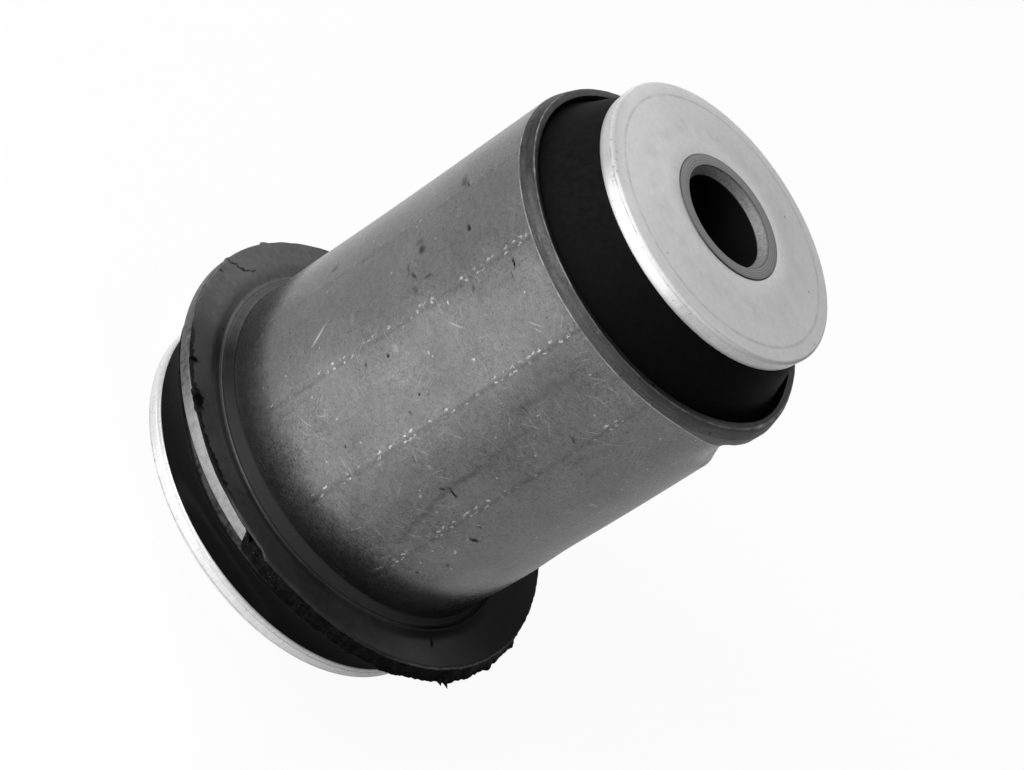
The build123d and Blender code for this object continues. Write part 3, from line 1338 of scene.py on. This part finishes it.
@dataclass
class EndWasher:
    """A dished plate pressed on to one end of the inner sleeve."""

    sizes: BushSizes
    end: End
    thickness: float = 3.0
    dish: float = 1.25
    hub_inset: float = 0.15
    rolled_edge: float = 0.6
    back_edge: float = 0.4
    score_depth: float = 2.0
    score_cut: float = 0.1
    score_half: float = 0.12
    large_painted_light_wall_shade: float = 0.95
    large_lit_shade: float = 1.0
    steps: int = 320
    finish: ZincPlate = ZincPlate()

    def build(self) -> bpy.types.Object:
        """Turns the plate, with a score round the large one's edge, and dresses it.

        Returns:
            The dressed piece.
        """
        out = self.end.value
        outline = self.sizes.upper_washer_radius
        if self.end is End.LOWER:
            outline = self.sizes.lower_washer_radius
        inner = self.sizes.inner_radius
        slope = math.atan2(self.dish, outline - inner)
        # The rolled rim takes a little off the corner, so the corner lies outside the outline.
        radius = outline + self.rolled_edge * (math.cos(slope) + math.sin(slope) - 1.0)
        level = self.sizes.length if self.end is End.UPPER else 0.0
        hub = level - out * self.hub_inset
        rim = hub - out * self.dish
        across = Vector((-math.sin(slope), -out * math.cos(slope)))
        face = Vector((radius, rim))
        back = face + across * self.thickness
        section = [Corner(inner, hub, 0.1, 2), Corner(face.x, face.y, self.rolled_edge, 8)]
        if self.end is End.LOWER:
            half = self.score_half
            for depth, cut in ((-half, 0.0), (0.0, self.score_cut), (half, 0.0)):
                score = face + across * (self.score_depth + depth)
                section.append(Corner(score.x - cut, score.y))
        section.append(Corner(back.x, back.y, self.back_edge, 4))
        section.append(Corner(inner, hub - out * self.thickness / math.cos(slope)))
        mesh = Turning(section, 3.0).spun(self.steps)
        node = f"{self.end.name.lower()}_washer"
        finish = self.finish
        # The large washer's wall is painted paler still: painted light where the flange shades it.
        if self.end is End.LOWER:
            finish = replace(
                finish, wall_shade=self.large_painted_light_wall_shade, lit_shade=self.large_lit_shade
            )
        material = finish.material(radius, rim, float(out))
        return stand(f"{node}_plated", mesh, material, node)


# ---- rubber ------------------------------------------------------------------------------


@dataclass(frozen=True)
class Tear:
    """A torn place: its middle and width in degrees, and its reach in millimetres."""

    angle: float
    width: float
    reach: float


@dataclass(frozen=True)
class MouldedRubber:
    """Matte black moulded rubber, dusty and cracked, with a faint sheen on the flange's skin,
    partly painted into its colour, and painted light on its left and at its wrapped corner.
    """

    shade: float = 0.004
    dust_and_painted_light_shade: float = 0.07
    roughness: float = 0.6
    specular: float = 0.03
    sheen_roughness: float = 0.38
    relief_depth: float = 0.08
    skin_radius: float = 36.0
    cone_radius: float = 26.0
    cone_low: float = 85.0
    cone_full: float = 88.0
    dust_level: float = 13.55
    dust_angle: float = -92.0
    left_side: Side = Side(-140.0, 0.2, 0.9)
    line_side: Side = Side(-72.0, 0.72, 0.9)
    seam_side: Side = Side(5.0, 0.78, 0.92)
    inner_side: Side = Side(-60.0, 0.1, 0.7)
    shadow_side: Side = Side(28.0, 0.35, 0.95)
    rim_side: Side = Side(-121.0, 0.9, 0.95)
    painted_sheen_side: Side = Side(-184.0, 0.72, 1.0)
    front_side: Side = Side(-85.0, 0.45, 0.9)
    collar_side: Side = Side(-94.0, 0.78, 0.9)
    edge_highlight_side: Side = Side(-16.0, 0.86, 0.98)
    fleck_side: Side = Side(-83.0, 0.988, 0.997)
    cone_light_side: Side = Side(-158.0, 0.2, 0.9)
    skin_marks: tuple[Mark, ...] = (
        Mark(-25.7, 35.5, 2.9, 1.2, 106.0, 1.0),
        Mark(-168.0, 39.0, 1.6, 0.5, 80.0, 0.7),
        Mark(-151.0, 33.6, 1.0, 0.7, 0.0, 0.7),
        Mark(-107.5, 36.5, 3.6, 0.3, 86.0, 0.3),
    )
    crack: tuple[tuple[float, float], ...] = (
        (-172.6, 40.0),
        (-173.6, 38.8),
        (-175.2, 36.8),
        (-179.6, 35.2),
    )
    cone_cracks: tuple[Mark, ...] = (
        Mark(-136.0, 92.6, 2.4, 0.16, 86.0, 1.0),
        Mark(-119.5, 90.4, 1.8, 0.14, 84.0, 0.7),
        Mark(-104.0, 91.0, 1.2, 0.14, 20.0, 0.6),
    )

    def marked(self, s: Shader, body: "RubberBody") -> Term:
        """Scuffs, the crack and the torn places of the flange's skin.

        Args:
            s: The shader under construction.
            body: The moulding, whose sizes and torn places the finish follows.

        Returns:
            How strongly each place is marked.
        """
        edge, around = body.sizes.flange_radius, self.skin_radius
        unrolled = s.unrolled(around, s.radius)
        marks = s.marks(s.warped(unrolled, 1.0, 0.2), self.skin_marks, around)
        marks = marks.most(s.line(s.warped(unrolled, 1.2, 0.4), self.crack, around, 0.34) * 0.75)
        ragged = s.radius + (s.grain(0.8, 2.0, shift=8.0) - 0.5) * 1.8
        for tear in body.tears:
            reach = ragged - abs(s.angle - tear.angle) * (1.6 / tear.width)
            torn = reach.rise(edge - 2.0, edge - 1.6) * s.angle.band(tear.angle, tear.width)
            marks = marks.most(torn)
        rim = (ragged - edge + 0.75).rise(0.0, 0.3) * s.facing(self.rim_side)
        return marks.most(rim * 0.8)

    def material(self, body: "RubberBody") -> bpy.types.Material:
        """Builds the finish.

        Args:
            body: The moulding, whose sizes and torn places the finish follows.

        Returns:
            The material.
        """
        s = Shader("moulded_rubber")
        clouds = s.grain(7.0, 3.0)
        mottle = s.grain(1.2, 4.0, shift=3.0)
        fine = s.grain(0.3, 2.0, shift=5.0)
        base, edge = body.sizes.sleeve_base, body.sizes.flange_radius
        face = base + body.wall
        skin = s.height.rise(face - 0.1, face + 0.1) * s.height.rise(face + 4.0, face + 3.0)
        skin = skin * s.radius.rise(body.sizes.sleeve_radius - 0.3, body.sizes.sleeve_radius)
        # The lip round the tube's foot, measured from the ridge at its outer edge.
        ridge = body.ridge + s.angle.hill(body.near_side, body.near_width) * body.near_shift
        ridge = ridge - s.angle.hill(body.right_side, body.right_width) * body.right_shift
        out = s.radius - ridge
        left = s.facing(self.left_side)
        # The ridge line is a painted highlight, mostly on the left.
        line = left.most(s.facing(self.line_side) * 0.5)
        line = out.band(0.0, 0.2) * line * (0.35 + mottle)
        seam = out.band(-0.05, 0.5) * s.facing(self.seam_side)
        groove = out.rise(0.15, 0.5) * out.rise(1.9, 0.9) * 0.1
        lip = out.rise(-0.15, -0.35) * (0.75 - left * 0.3)
        inside = out.rise(-0.2, -0.5) * s.facing(self.inner_side)
        marks = self.marked(s, body).most(seam * 0.8)
        clear = skin.dimmed(marks)
        shadow = s.facing(self.shadow_side)
        sheen = clear.dimmed(groove).dimmed(shadow, 0.85).dimmed(lip)
        # Painted sheen lightens the skin on its left; dust lies on the skin in front and on the
        # collar's side.
        dust_and_painted_sheen = s.facing(self.painted_sheen_side) * (0.35 + mottle * 1.3)
        front = s.facing(self.front_side) * (0.2 + clouds * 0.5 + (mottle - 0.5) * 0.7).held()
        dust_and_painted_sheen = clear * dust_and_painted_sheen.most(front.most(inside) * 0.42)
        level = self.dust_level + (1.0 - s.side(self.dust_angle)) * 9.0
        collar = (s.height - level).rise(-0.15, 0.3) * s.height.rise(base + 0.2, base - 0.1)
        collar = collar * s.radius.rise(edge - 2.9, edge - 2.1)
        collar = collar * s.radius.rise(edge + 0.5, edge - 0.1)
        dust_and_painted_light = collar * (mottle * 3.4 - 0.9).held() * s.facing(self.collar_side) * 0.6
        # A painted highlight, mottled, pales the skin's outer corner where it wraps the edge.
        corner = s.height.band(face + 0.2, 0.25) * s.radius.rise(edge - 0.6, edge - 0.3)
        corner = corner * s.facing(self.edge_highlight_side) * (mottle * 3.0 - 0.6).held() * 1.9
        flecks = s.specks(0.5, 0.3, 0.5) * s.facing(self.fleck_side)
        corner = corner.most(flecks * s.radius.rise(edge - 0.3, edge - 0.1))
        # Painted light: the cone is painted lighter and mottled on its left.
        cone = s.height.rise(self.cone_low, self.cone_full) * s.facing(self.cone_light_side)
        cone = cone * (mottle * 2.6 - 0.7).held()
        rags = s.radius.rise(edge + 0.1, edge + 0.5) * (fine * 3.0 + mottle * 2.0 - 2.4).held()
        dust_and_painted_light = dust_and_painted_light.most(corner * 0.75).most(cone * 0.04).most(rags * 0.16)
        # Dust and painted light share one pale shade.
        shade = self.shade * (0.6 + mottle * 0.8) + dust_and_painted_light.most(dust_and_painted_sheen) * self.dust_and_painted_light_shade
        # Painted sheen: under the coat the colour is painted lighter with clouds, specks and the
        # ridge line.
        painted_sheen = clouds * 0.012 + s.specks(1.3, 0.14, 0.25) * 0.03 + line * 0.05
        shade = (shade + sheen * painted_sheen).dimmed(marks, 0.8)
        cracks = s.marks(s.unrolled(self.cone_radius), self.cone_cracks, self.cone_radius)
        cracks = cracks * s.radius.rise(29.5, 29.0)
        roughness = self.roughness + (mottle - 0.5) * 0.2 - sheen * 0.1
        relief = mottle * 0.5 + fine * 0.3 + clouds * 0.8 - marks * 1.5 - cracks * 2.0
        coat = sheen * (0.45 + clouds * 0.4) + line * 0.15
        return s.finish(
            shade,
            roughness,
            0.0,
            relief,
            self.relief_depth,
            self.specular,
            coat,
            self.sheen_roughness,
        )


@dataclass
class RubberBody:
    """The bonded moulding: cone, filling, collar, bumper and the skin that wraps the flange.

    `wall` and `bend` are the outer sleeve's.
    """

    sizes: BushSizes
    wall: float
    bend: float
    mouth_recess: float = 2.4
    mouth_roll: float = 1.1
    mouth_roll_height: float = 2.2
    cone_inset: float = 0.6
    washer_drop: float = 1.25
    collar_inset: float = 1.2
    collar_depth: float = 2.6
    collar_sag_angle: float = -96.0
    collar_sag: float = 0.9
    sag_left: float = 17.0
    sag_right: float = 30.0
    skin: float = 0.42
    skin_swell: float = 0.4
    skin_inset: float = 0.3
    lip_rise: float = 1.4
    lip_gap: float = 0.02
    ridge: float = 32.5
    near_side: float = -88.0
    near_width: float = 42.0
    near_shift: float = 1.5
    right_side: float = 22.0
    right_width: float = 26.0
    right_shift: float = 0.5
    hang_start: float = -114.0
    hang: float = 0.12
    wrap_start: float = -83.6
    wrap_end: float = 75.0
    wrap_lap: float = 0.3
    calm: float = 0.55
    calm_angle: float = -10.0
    calm_width: float = 38.0
    swell_right: float = 0.75
    swell_start: float = 0.6
    steps: int = 240
    skirt_steps: int = 600
    tears: tuple[Tear, ...] = (Tear(-134.4, 2.2, 0.7), Tear(-123.2, 6.4, 0.8))
    nubs: tuple[Tear, ...] = (
        Tear(170.2, 2.4, 0.55),
        Tear(-173.2, 3.4, 0.55),
        Tear(-161.0, 1.2, 0.2),
    )
    spikes: tuple[Tear, ...] = (
        Tear(-19.0, 14.0, 0.5),
        Tear(-22.8, 0.7, 0.7),
        Tear(-21.0, 0.8, 1.15),
    )
    finish: MouldedRubber = MouldedRubber()

    def core(self) -> bmesh.types.BMesh:
        """Turns the cone, the filling between the sleeves, the collar and the bumper as one.

        Returns:
            The solid, in place.
        """
        s = self.sizes
        low, high = (corner.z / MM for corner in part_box("rubber_body"))
        bore, base, top = s.sleeve_radius - self.wall, s.sleeve_base, s.sleeve_top
        collar = s.flange_radius - self.collar_inset
        collar_foot = base - self.collar_depth
        cone_top = s.upper_washer_radius - self.cone_inset
        washer = s.upper_washer_radius - s.inner_radius
        seat = self.washer_drop * (cone_top - s.inner_radius) / washer
        mouth = top - self.mouth_recess
        foot = Corner(s.lower_washer_radius - 0.25, low + self.washer_drop)
        shoulder = Corner(collar - 2.4, collar_foot - 0.7, 0.5, 3)
        half_way = (foot.height + shoulder.height) / 2.0
        waist = Corner((foot.radius + shoulder.radius) / 2.0 - 1.4, half_way, 3.6, 8)
        section = [
            Corner(s.inner_radius, high),
            Corner(cone_top, high - seat),
            Corner(bore - self.mouth_roll, mouth + self.mouth_roll_height, 1.4, 4),
            Corner(bore, mouth + 0.6, 0.5, 3),
            Corner(bore, mouth),
            Corner(bore, base, self.wall + self.bend, 10),
            Corner(collar, base, 0.2, 2),
            Corner(collar, collar_foot, 0.45, 4),
            shoulder,
            waist,
            foot,
            Corner(s.inner_radius, low),
        ]
        mesh = Turning(section, 1.5).spun(self.steps)
        for point in mesh.verts:
            angle, radius, height = bearing(point.co)
            lip = bell(radius - collar, 1.4) * ease(-height, -base + 0.6, -collar_foot - 0.4)
            lip *= ease(height, collar_foot - 1.4, collar_foot - 0.2)
            away = turn_between(angle, self.collar_sag_angle)
            sag = bell(away, self.sag_right if away > 0.0 else self.sag_left)
            rough = 0.13 * wander(angle, collar, 5.0, 3.0) + 0.1 * wander(angle, collar, 1.3, 8.0)
            drop = lip * (self.collar_sag * sag - 0.25 + rough)
            set_bearing(point.co, angle, radius + lip * (0.3 * sag - 0.1 + rough), height - drop)
        return mesh

    def wrapped(self, angle: float, height: float) -> float:
        """How far the skin laps over the flange's edge.

        Args:
            angle: Degrees round the bore axis.
            height: Height up the axis, in millimetres.

        Returns:
            0 where the edge is bare, up to 1 where it is wrapped.
        """
        middle = self.sizes.sleeve_base + self.wall * 0.7
        early = 2.4 * ((height - middle) / 1.3) ** 2 + 0.9 * wander(height, 40.0, 1.8, 15.0)
        from_start = turn_between(angle, self.wrap_start) + early
        to_end = turn_between(self.wrap_end, angle) + early
        return min(ease(from_start, 0.0, 2.6), ease(to_end, 0.0, 1.5))

    def skirt(self) -> bmesh.types.BMesh:
        """Turns the lip round the tube's foot and the flange's skin, and tears its edge.

        Returns:
            The solid, in place.
        """
        s = self.sizes
        tube = s.sleeve_radius
        face, edge = s.sleeve_base + self.wall, s.flange_radius
        lip = face + self.lip_rise
        swell = face + self.skin + self.skin_swell
        under = s.sleeve_base - 0.7
        root = edge - self.collar_inset - self.wrap_lap
        section = [
            Corner(tube, face, self.bend, 6),
            Corner(tube + self.lip_gap, face + 0.9),
            Corner(tube + self.lip_gap, lip, 0.05, 1),
            Corner(tube + 0.4, lip - 0.05, 0.14, 3),
            Corner(tube + 0.8, face + 0.75, 0.3, 4),
            Corner(self.ridge - 0.3, face + 0.2, 0.3, 3),
            Corner(self.ridge - 0.02, face + 0.4, 0.14, 3),
            Corner(self.ridge + 0.32, face + 0.1, 0.14, 3),
            Corner(self.ridge + 1.0, face + 0.3, 0.4, 4),
            Corner(self.ridge + 2.3, swell - 0.1, 0.7, 4),
            Corner(edge + 0.1, face + self.skin, 0.35, 5),
            Corner(edge + 0.6, face - 0.6, 0.5, 3),
            Corner(edge + 1.15, face - 1.5, 0.15, 2),
            Corner(edge + 1.65, face - 1.85, 0.06, 2),
            Corner(edge + 1.2, face - 2.1, 0.1, 2),
            Corner(edge + 0.2, under, 0.3, 2),
            Corner(root, under - 0.05),
            Corner(root, s.sleeve_base),
            Corner(edge, s.sleeve_base),
            Corner(edge, face),
        ]
        mesh = Turning(section, 1.0).spun(self.skirt_steps)
        for point in mesh.verts:
            self.tear(point.co, face, edge)
        return mesh

    def bumps(self, tears: tuple[Tear, ...], angle: float) -> float:
        """How far a row of small bumps reaches out at an angle, in millimetres."""
        return sum(n.reach * bell(turn_between(angle, n.angle), n.width / 2.0) for n in tears)

    def tear(self, point: Vector, face: float, edge: float) -> None:
        """Cuts the skin back to the bare edge, or leaves it wrapped and ragged.

        Args:
            point: A point of the skirt, which is moved.
            face: Height of the flange's steel face, in millimetres.
            edge: Radius of the flange's steel edge, in millimetres.
        """
        angle, radius, height = bearing(point)
        shift = self.near_shift * bell(turn_between(angle, self.near_side), self.near_width)
        shift -= self.right_shift * bell(turn_between(angle, self.right_side), self.right_width)
        near = ease(radius, self.sizes.sleeve_radius + 0.3, self.ridge - 0.3)
        radius += shift * near * ease(-radius, -self.ridge - 4.5, -self.ridge - 0.7)
        hang = ease(angle, self.hang_start - 9.0, self.hang_start + 9.0) * ease(-angle, 40.0, 50.0)
        rim = edge - self.skin_inset + 0.12 * wander(angle, edge, 2.5, 21.0)
        rim += hang * (self.skin_inset + 0.1)
        rim += self.bumps(self.nubs, angle)
        torn = sum(
            ease(n.width / 2.0 - abs(turn_between(angle, n.angle)), -0.3, 0.4) for n in self.tears
        )
        shred = torn * ease(radius, edge - 1.6, edge - 0.6)
        rim += torn * (0.35 + 0.3 * wander(angle, edge, 1.0, 50.0))
        if height > face + 0.3 and radius < self.ridge:
            calm = self.calm * bell(turn_between(angle, self.calm_angle), self.calm_width)
            height -= calm * (height - face - 0.3)
        own = height > face - 0.001 and radius < edge + 0.7
        bare_radius = min(radius, rim) if own else rim
        bare_height = height if own and radius < edge + 0.3 else face - self.hang * hang
        if height > face + 0.1:
            bare_height += shred * (0.25 + 0.5 * wander(angle, edge, 0.9, 60.0))
        share = self.wrapped(angle, height)
        reach = ease(radius, edge + 0.2, edge + 1.6)
        ragged = 0.45 * wander(angle, edge, 4.5, 5.0) + 0.34 * wander(angle, edge, 1.6, 9.0)
        ragged += 0.24 * wander(angle, edge, 0.7, 14.0) - 0.1
        ragged += self.bumps(self.spikes, angle)
        layers = 0.14 * wander(angle, edge, 2.2, height * 2.4) * ease(radius, edge, edge + 0.4)
        swell = self.swell_right * ease(angle, -12.0, 45.0)
        swell += self.swell_start * bell(turn_between(angle, -83.0), 7.0)
        swell *= ease(radius, edge - 1.5, edge)
        fringe = 0.12 * wander(angle, edge, 1.1, 33.0) * ease(radius, edge - 0.4, edge)
        full = radius + reach * ragged + layers + swell * (1.0 - 0.6 * reach) + fringe
        lift = reach * 0.25 * wander(angle, edge, 3.0, 30.0)
        set_bearing(
            point,
            angle,
            bare_radius + share * (full - bare_radius),
            bare_height + share * (height + lift - bare_height),
        )

    def build(self) -> bpy.types.Object:
        """Joins the core and the skin, and dresses them.

        Returns:
            The dressed piece.
        """
        mesh = self.core()
        spare = bpy.data.meshes.new("skirt")
        skirt = self.skirt()
        skirt.to_mesh(spare)
        skirt.free()
        mesh.from_mesh(spare)
        bpy.data.meshes.remove(spare)
        material = self.finish.material(self)
        return stand("rubber_moulding", mesh, material, "rubber_body")


# ---- stage -------------------------------------------------------------------------------


@dataclass(frozen=True)
class SoftLamp:
    """A square softbox aimed at the bush: where it stands, its width and its power in watts."""

    name: str
    angle: float
    elevation: float
    distance: float
    width: float
    watts: float

    def build(self, aim: Vector) -> None:
        """Hangs the lamp.

        Args:
            aim: The point that it faces.
        """
        light = bpy.data.lights.new(self.name, "AREA")
        light.shape = "SQUARE"
        light.size = self.width
        light.energy = self.watts
        lamp = put(self.name, light)
        way = direction(self.angle, self.elevation)
        lamp.location = aim + way * self.distance
        lamp.rotation_euler = way.to_track_quat("Z", "Y").to_euler()


@dataclass(frozen=True)
class FloorSpot:
    """A spotlight straight above the floor that brightens a round patch beside the bush."""

    name: str
    x: float
    y: float
    height: float
    radius: float
    watts: float
    blend: float = 0.8
    softness: float = 0.02

    def build(self) -> None:
        """Hangs the spotlight."""
        light = bpy.data.lights.new(self.name, "SPOT")
        light.energy = self.watts
        light.spot_size = 2.0 * math.atan(self.radius / self.height)
        light.spot_blend = self.blend
        light.shadow_soft_size = self.softness
        put(self.name, light).location = (self.x, self.y, self.height)


@dataclass(frozen=True)
class Stage:
    """Pale floor, soft studio light and the camera, in metres and degrees."""

    floor_half: float = 3.0
    floor_shade: float = 0.97
    floor_roughness: float = 0.9
    floor_specular: float = 0.1
    floor_white: float = 0.94
    mirrored_white: float = 0.25
    sky: float = 0.12
    aim: tuple[float, float, float] = (0.003726, 0.0, 0.04891)
    camera_angle: float = -90.0
    camera_elevation: float = 32.19
    camera_roll: float = 57.23
    camera_distance: float = 0.56765
    lens: float = 123.05
    sensor_width: float = 36.0
    clip_start: float = 0.01
    lamps: tuple[SoftLamp, ...] = (
        SoftLamp("back_softbox", 90.0, 38.0, 1.3, 1.2, 3.1),
        SoftLamp("back_left_softbox", 135.0, 42.0, 1.3, 1.0, 4.4),
        SoftLamp("front_left_softbox", -130.0, 32.0, 1.2, 0.6, 8.8),
        SoftLamp("low_left_softbox", -165.0, 15.0, 1.2, 0.6, 3.5),
        SoftLamp("low_front_softbox", -100.0, 8.0, 1.2, 0.6, 4.0),
    )
    spots: tuple[FloorSpot, ...] = (
        FloorSpot("floor_spot_left", -0.085, -0.06, 0.45, 0.06, 1.0),
        FloorSpot("floor_spot_front", -0.035, -0.115, 0.45, 0.09, 9.4),
    )

    def floor(self) -> None:
        """Lays the floor, which shows partly as plain white so that its shadows stay light."""
        mesh = bmesh.new()
        bmesh.ops.create_grid(mesh, x_segments=1, y_segments=1, size=self.floor_half)
        data = bpy.data.meshes.new("floor")
        mesh.to_mesh(data)
        mesh.free()
        s = Shader("pale_floor")
        shade = self.floor_shade + (s.grain(40.0, 2.0) - 0.5) * 0.01
        s.finish(shade, self.floor_roughness, 0.0, specular=self.floor_specular)
        white = s.node("ShaderNodeEmission", {}, {"Color": (1.0, 1.0, 1.0, 1.0), "Strength": 1.0})
        path = s.node("ShaderNodeLightPath", {}, {})
        direct = Term(s, path.outputs["Is Camera Ray"])
        mirrored = Term(s, path.outputs["Is Glossy Ray"]).most(
            Term(s, path.outputs["Is Transmission Ray"])
        )
        seen = (direct * self.floor_white).most(mirrored * self.mirrored_white)
        surface = s.tree.nodes["Principled BSDF"].outputs[0]
        mixed = s.node("ShaderNodeMixShader", {}, {0: seen, 1: surface, 2: white.outputs[0]})
        s.tree.links.new(mixed.outputs[0], s.tree.nodes["Material Output"].inputs["Surface"])
        data.materials.append(s.material)
        floor = put("floor", data)

    def world(self) -> None:
        """Sets the even sky."""
        world = bpy.data.worlds.new("sky")
        world.use_nodes = True
        background = world.node_tree.nodes["Background"]
        background.inputs["Color"].default_value = (self.sky, self.sky, self.sky, 1.0)
        background.inputs["Strength"].default_value = 1.0
        bpy.context.scene.world = world

    def camera(self) -> None:
        """Places the camera, which is rolled so that the bush leans to the upper right."""
        lens = bpy.data.cameras.new("camera")
        lens.lens = self.lens
        lens.sensor_width = self.sensor_width
        lens.clip_start = self.clip_start
        turn = math.radians(self.camera_angle)
        back = direction(self.camera_angle, self.camera_elevation)
        level = Vector((-math.sin(turn), math.cos(turn), 0.0))
        roll = math.radians(self.camera_roll)
        right = level * math.cos(roll) + back.cross(level) * math.sin(roll)
        up = back.cross(right)
        place = Matrix((right, up, back)).transposed().to_4x4()
        place.translation = Vector(self.aim) + back * self.camera_distance
        camera = put("camera", lens)
        camera.matrix_world = place
        bpy.context.scene.camera = camera

    def build(self) -> None:
        """Sets the whole stage."""
        self.floor()
        self.world()
        self.camera()
        for lamp in self.lamps:
            lamp.build(Vector(self.aim))
        for spot in self.spots:
            spot.build()
        bpy.context.scene.view_settings.view_transform = "Standard"


def main() -> None:
    logging.basicConfig(level=logging.INFO, format="%(name)s %(message)s")
    sizes = BushSizes.measured()
    LOG.info("sizes: %s", sizes)
    Stage().build()
    InnerSleeve(sizes).build()
    sleeve = OuterSleeve(sizes)
    sleeve.build()
    for end in End:
        EndWasher(sizes, end).build()
    RubberBody(sizes, sleeve.wall, sleeve.bend).build()


if __name__ == "__main__":
    main()
